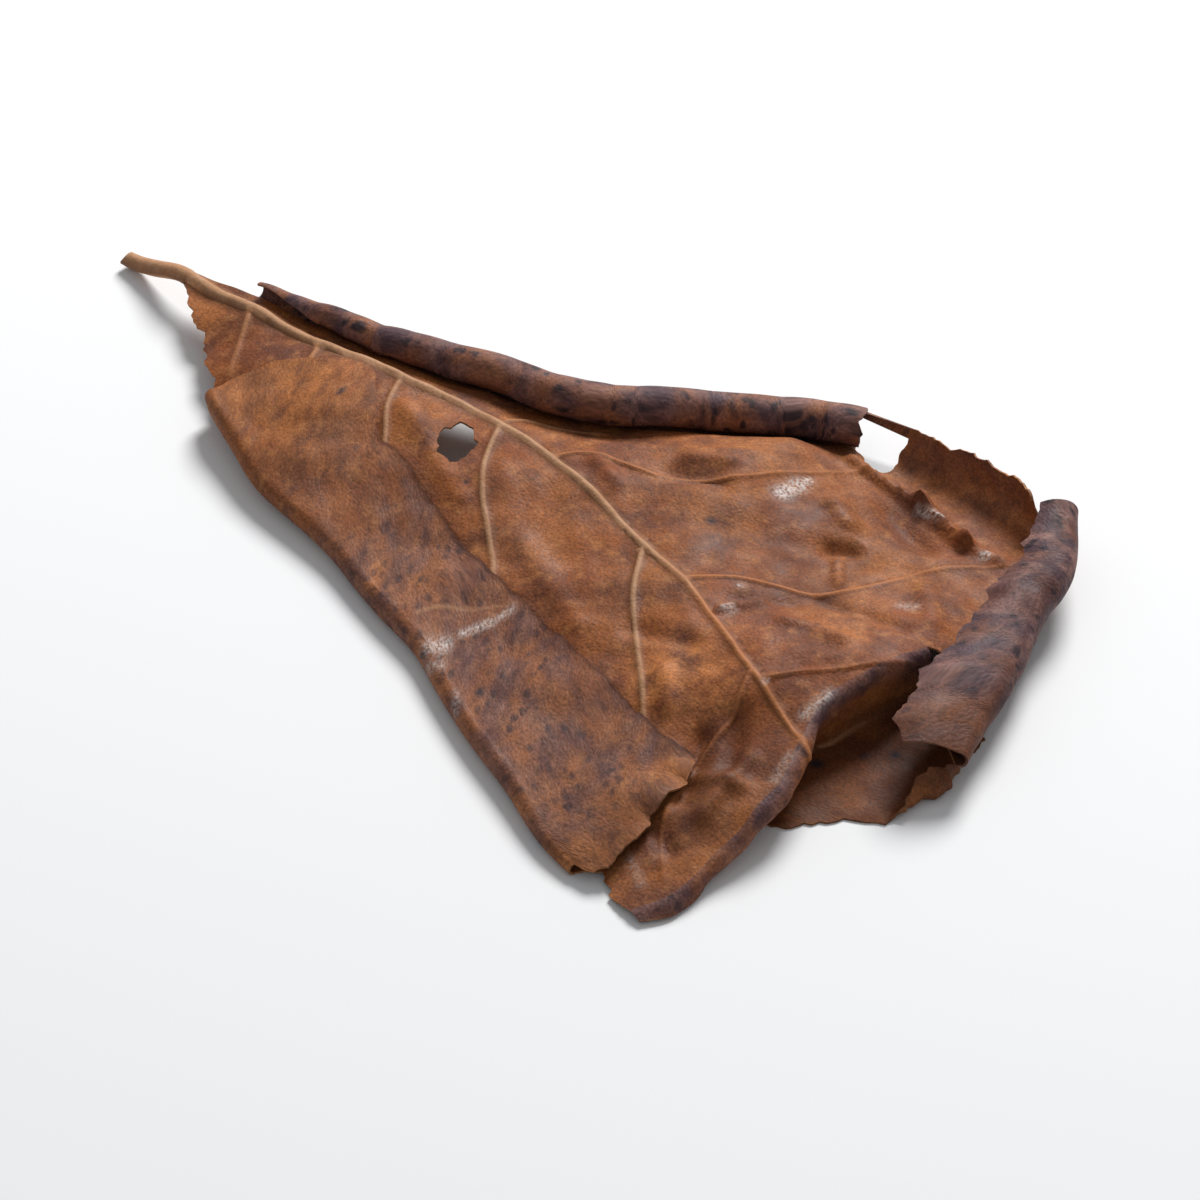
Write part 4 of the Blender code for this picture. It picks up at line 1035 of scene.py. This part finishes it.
class LeafTissue:
    """Material of one face of the leaf; all its patterns lie on the flattened leaf, in millimetres."""

    def __init__(self, name, seed, tan, russet, umber, spots):
        self.material = bpy.data.materials.new(name)
        self.material.use_nodes = True
        self.tree = self.material.node_tree
        self.marks = {mark: self.add("Attribute", output="Fac", attribute_name=mark) for mark in marks}
        lies = self.add("Attribute", output="Vector", attribute_name="place")
        self.here = self.add("VectorMath", {0: lies, 1: (seed, 2 * seed, 3 * seed)})
        self.colour = srgb(russet)
        self.mottle(tan, umber)
        self.shift_tone()
        self.bloom(spots)
        self.wear()
        self.finish()

    def add(self, kind, inputs=None, output=0, **settings):
        """Adds a node with its settings; each input takes a value or another node's output."""
        node = self.tree.nodes.new("ShaderNode" + kind)
        for name, value in settings.items():
            setattr(node, name, value)
        for name, value in (inputs or {}).items():
            if isinstance(value, bpy.types.NodeSocket):
                self.tree.links.new(value, node.inputs[name])
            else:
                node.inputs[name].default_value = value
        return node.outputs[output]

    def patches(self, size, low, high, detail=3, least=0.0, most=1.0):
        """Soft patches of a size: least where a noise is below its low level, most above the high one."""
        cloud = self.add("TexNoise", {"Vector": self.here, "Scale": 1 / size, "Detail": detail})
        levels = {"Value": cloud, "From Min": low, "From Max": high, "To Min": least, "To Max": most}
        return self.add("MapRange", levels)

    def mix(self, under, over, share, kind="MIX"):
        return self.add("Mix", {0: share, 6: under, 7: over}, 2, data_type="RGBA", blend_type=kind)

    def lay(self, over, *shares, kind="MIX"):
        """Lays a colour over those before it, in the product of the shares."""
        share = shares[0]
        for factor in shares[1:]:
            share = self.add("Math", {0: share, 1: factor}, operation="MULTIPLY")
        self.colour = self.mix(self.colour, over, share, kind)

    def mottle(self, tan, umber):
        """Tan clouds over the russet, then umber patches, then pale flecks."""
        self.lay(srgb(tan), self.patches(19, 0.38, 0.62))
        self.lay(srgb(umber), self.patches(7, 0.42, 0.68, detail=5, most=0.85))
        self.lay(srgb(FLECK), self.patches(3, 0.52, 0.72, detail=5, most=0.42))

    def shift_tone(self):
        """A negative tone goes down to deep brown, a positive one up to bright orange brown."""
        darker = self.add("MapRange", {"Value": self.marks["tone"], "From Max": -1, "To Max": DARKER_MOST})
        brighter = self.add("MapRange", {"Value": self.marks["tone"], "To Max": BRIGHTER_MOST})
        self.lay(srgb(DEEP), darker, self.patches(6, 0.3, 0.6, detail=4, least=0.55))
        self.lay(srgb(BRIGHT), brighter, self.patches(4, 0.35, 0.6))

    def bloom(self, spots):
        """A slate purple cast, and small blue-black spots that come with it."""
        slate = self.marks["slate"]
        cast = self.mix(srgb(BLOOM), srgb(BLOOM_PALE), self.patches(3.4, 0.42, 0.66, detail=4))
        self.lay(cast, slate, self.patches(7, 0.36, 0.58, detail=4, least=0.4))
        spotted = self.add("Math", {0: slate, 1: spots}, operation="ADD", use_clamp=True)
        self.lay(srgb(SPOT), spotted, self.spot_shape(), self.patches(9, 0.4, 0.52))

    def spot_shape(self):
        """Round spots on an uneven lattice, with a ragged outline."""
        ragged = self.add("TexNoise", {"Vector": self.here, "Scale": 1 / SHAKE_SIZE, "Detail": 2}, "Color")
        shake = self.add("VectorMath", {0: ragged, "Scale": SHAKE_REACH}, operation="SCALE")
        moved = self.add("VectorMath", {0: self.here, 1: shake})
        distance = self.add("TexVoronoi", {"Vector": moved, "Scale": 1 / SPOT_SPACING}, "Distance")
        fade = {"Value": distance, "From Min": SPOT_FADES[1], "From Max": SPOT_FADES[0], "To Max": SPOT_MOST}
        return self.add("MapRange", fade)

    def wear(self):
        """Pits and pores, really a third of a millimetre apart and drawn coarser, then the other marks."""
        grain = self.patches(0.45, 0.32, 0.68, detail=2, least=0.68, most=1.32)
        self.lay(grain, GRAIN_SHARE, kind="MULTIPLY")
        # Painted shade: dark lines along the feet of the raised cords, partly also darker tissue there, and
        # along the left flap's edge
        self.lay(srgb(DEEP), self.marks["shade_lines"], SHADE_LINE_SHARE)
        cord = self.mix(srgb(ORANGE_CORD), srgb(PALE_CORD), self.marks["vein_pale"])
        self.lay(cord, self.marks["vein"], self.patches(1.4, 0.3, 0.6, least=0.7))
        self.lay(srgb(SPOT), self.marks["dot"])
        self.lay(srgb(SCUFFED_WAX), self.marks["scuff"], self.patches(0.6, 0.34, 0.62, detail=4))

    def relief(self):
        """The net of the finest veins, with pores in its meshes and soft wrinkles under it."""
        lattice = {"Vector": self.here, "Scale": 1 / NET_SPACING}
        net = self.add("TexVoronoi", lattice, "Distance", feature="DISTANCE_TO_EDGE")
        meshes = self.add("MapRange", {"Value": net, "From Max": NET_CORD, "To Max": NET_RELIEF})
        skin = self.add("Math", {0: meshes, 1: self.patches(0.6, 0.25, 0.75)})
        return self.add("Math", {0: skin, 1: self.patches(2.6, 0.2, 0.8, detail=2, most=1.6)})

    def finish(self):
        """Colour, sheen and relief brought together in the shader."""
        shader = self.tree.nodes["Principled BSDF"]
        height = {"Height": self.relief(), "Distance": RELIEF_DEPTH * MM, "Strength": 1.0}
        self.tree.links.new(self.colour, shader.inputs["Base Color"])
        self.tree.links.new(self.patches(5, 0.3, 0.7, 4, *ROUGHNESS), shader.inputs["Roughness"])
        self.tree.links.new(self.add("Bump", height), shader.inputs["Normal"])
        shader.inputs["IOR"].default_value = TISSUE_IOR
        shader.inputs["Specular IOR Level"].default_value = TISSUE_SHEEN


# Dried underside: matt tissue between raised veins, which gives the eye a warm, mottled russet.
underside = LeafTissue("dried_leaf_underside", 11, "#985B2E", "#7E431F", "#5C3220", spots=0.05)

# Dried upper face: the once waxy side, which gives a redder brown with more dark spots.
upper_face = LeafTissue("dried_leaf_upper_face", 47, "#985D33", "#7F4825", "#5A3626", spots=0.12)

# Torn rim: the fibres inside the blade, which give a thin paler line along every edge.
torn_rim = LeafTissue("torn_leaf_rim", 5, "#A9794F", "#8A5D3C", "#5A3A2A", spots=0.0)
for tissue in (underside, upper_face, torn_rim):
    leaf_mesh.materials.append(tissue.material)

leaf = bpy.data.objects.new("dry_leaf_blade", leaf_mesh)
bpy.context.scene.collection.objects.link(leaf)
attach(leaf, "root")
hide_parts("leaf")

# Floor: a wide sheet of matt white studio paper that the leaf lies on, which gives an
# even pale ground with soft shadows and no sheen.
FLOOR_SIZE = 6.0
PAPER = "#E9E9E9"
PAPER_ROUGHNESS = 0.9
PAPER_SHEEN = 0.1
floor_mesh = bpy.data.meshes.new("studio_floor")
half = FLOOR_SIZE / 2
corners = [(-half, -half, 0), (half, -half, 0), (half, half, 0), (-half, half, 0)]
floor_mesh.from_pydata(corners, [], [(0, 1, 2, 3)])
floor = bpy.data.objects.new("studio_floor", floor_mesh)
bpy.context.scene.collection.objects.link(floor)
paper = bpy.data.materials.new("matt_white_paper")
paper.use_nodes = True
paper_shader = paper.node_tree.nodes["Principled BSDF"]
paper_shader.inputs["Base Color"].default_value = srgb(PAPER)
paper_shader.inputs["Roughness"].default_value = PAPER_ROUGHNESS
paper_shader.inputs["Specular IOR Level"].default_value = PAPER_SHEEN
floor_mesh.materials.append(paper)

# Light and camera: a large soft window of light from behind and above, open shade all
# round, and a long lens that looks down at the leaf from the side of its tip.
CAMERA_AZIMUTH = 52
CAMERA_ELEVATION = 42
CAMERA_DISTANCE = 0.9
AIM = (0.0300, -0.0157, 0.004)
FRAME_WIDTH = 0.205
SENSOR = 36
VIEW_END = 20
WINDOW_AZIMUTH = 212
WINDOW_ELEVATION = 39
WINDOW_DISTANCE = 1.5
WINDOW_SIZE = 0.62
WINDOW_POWER = 30
SHADE_COLOUR = (0.95, 0.97, 1, 1)
SHADE_STRENGTH = 0.38


def direction(azimuth, elevation):
    """Unit vector from the aim towards a place seen at that angle; azimuth 0 looks along +Y."""
    a, e = math.radians(azimuth), math.radians(elevation)
    return Vector((math.sin(a) * math.cos(e), -math.cos(a) * math.cos(e), math.sin(e)))


def aimed(thing, azimuth, elevation, distance):
    """Puts a light or the camera at its place, turned to look at the aim."""
    thing.location = Vector(AIM) + direction(azimuth, elevation) * distance
    thing.rotation_euler = (Vector(AIM) - thing.location).to_track_quat("-Z", "Y").to_euler()
    bpy.context.scene.collection.objects.link(thing)


lamp = bpy.data.lights.new("window_light", "AREA")
lamp.shape = "DISK"
lamp.size = WINDOW_SIZE
lamp.energy = WINDOW_POWER
window = bpy.data.objects.new("window_light", lamp)
aimed(window, WINDOW_AZIMUTH, WINDOW_ELEVATION, WINDOW_DISTANCE)

world = bpy.data.worlds.new("open_shade")
world.use_nodes = True
background = world.node_tree.nodes["Background"]
background.inputs["Color"].default_value = SHADE_COLOUR
background.inputs["Strength"].default_value = SHADE_STRENGTH
bpy.context.scene.world = world
bpy.context.scene.view_settings.view_transform = "Standard"

lens = bpy.data.cameras.new("camera")
lens.sensor_width = SENSOR
lens.lens = SENSOR * CAMERA_DISTANCE / FRAME_WIDTH
lens.clip_end = VIEW_END
camera = bpy.data.objects.new("camera", lens)
aimed(camera, CAMERA_AZIMUTH, CAMERA_ELEVATION, CAMERA_DISTANCE)
bpy.context.scene.camera = camera
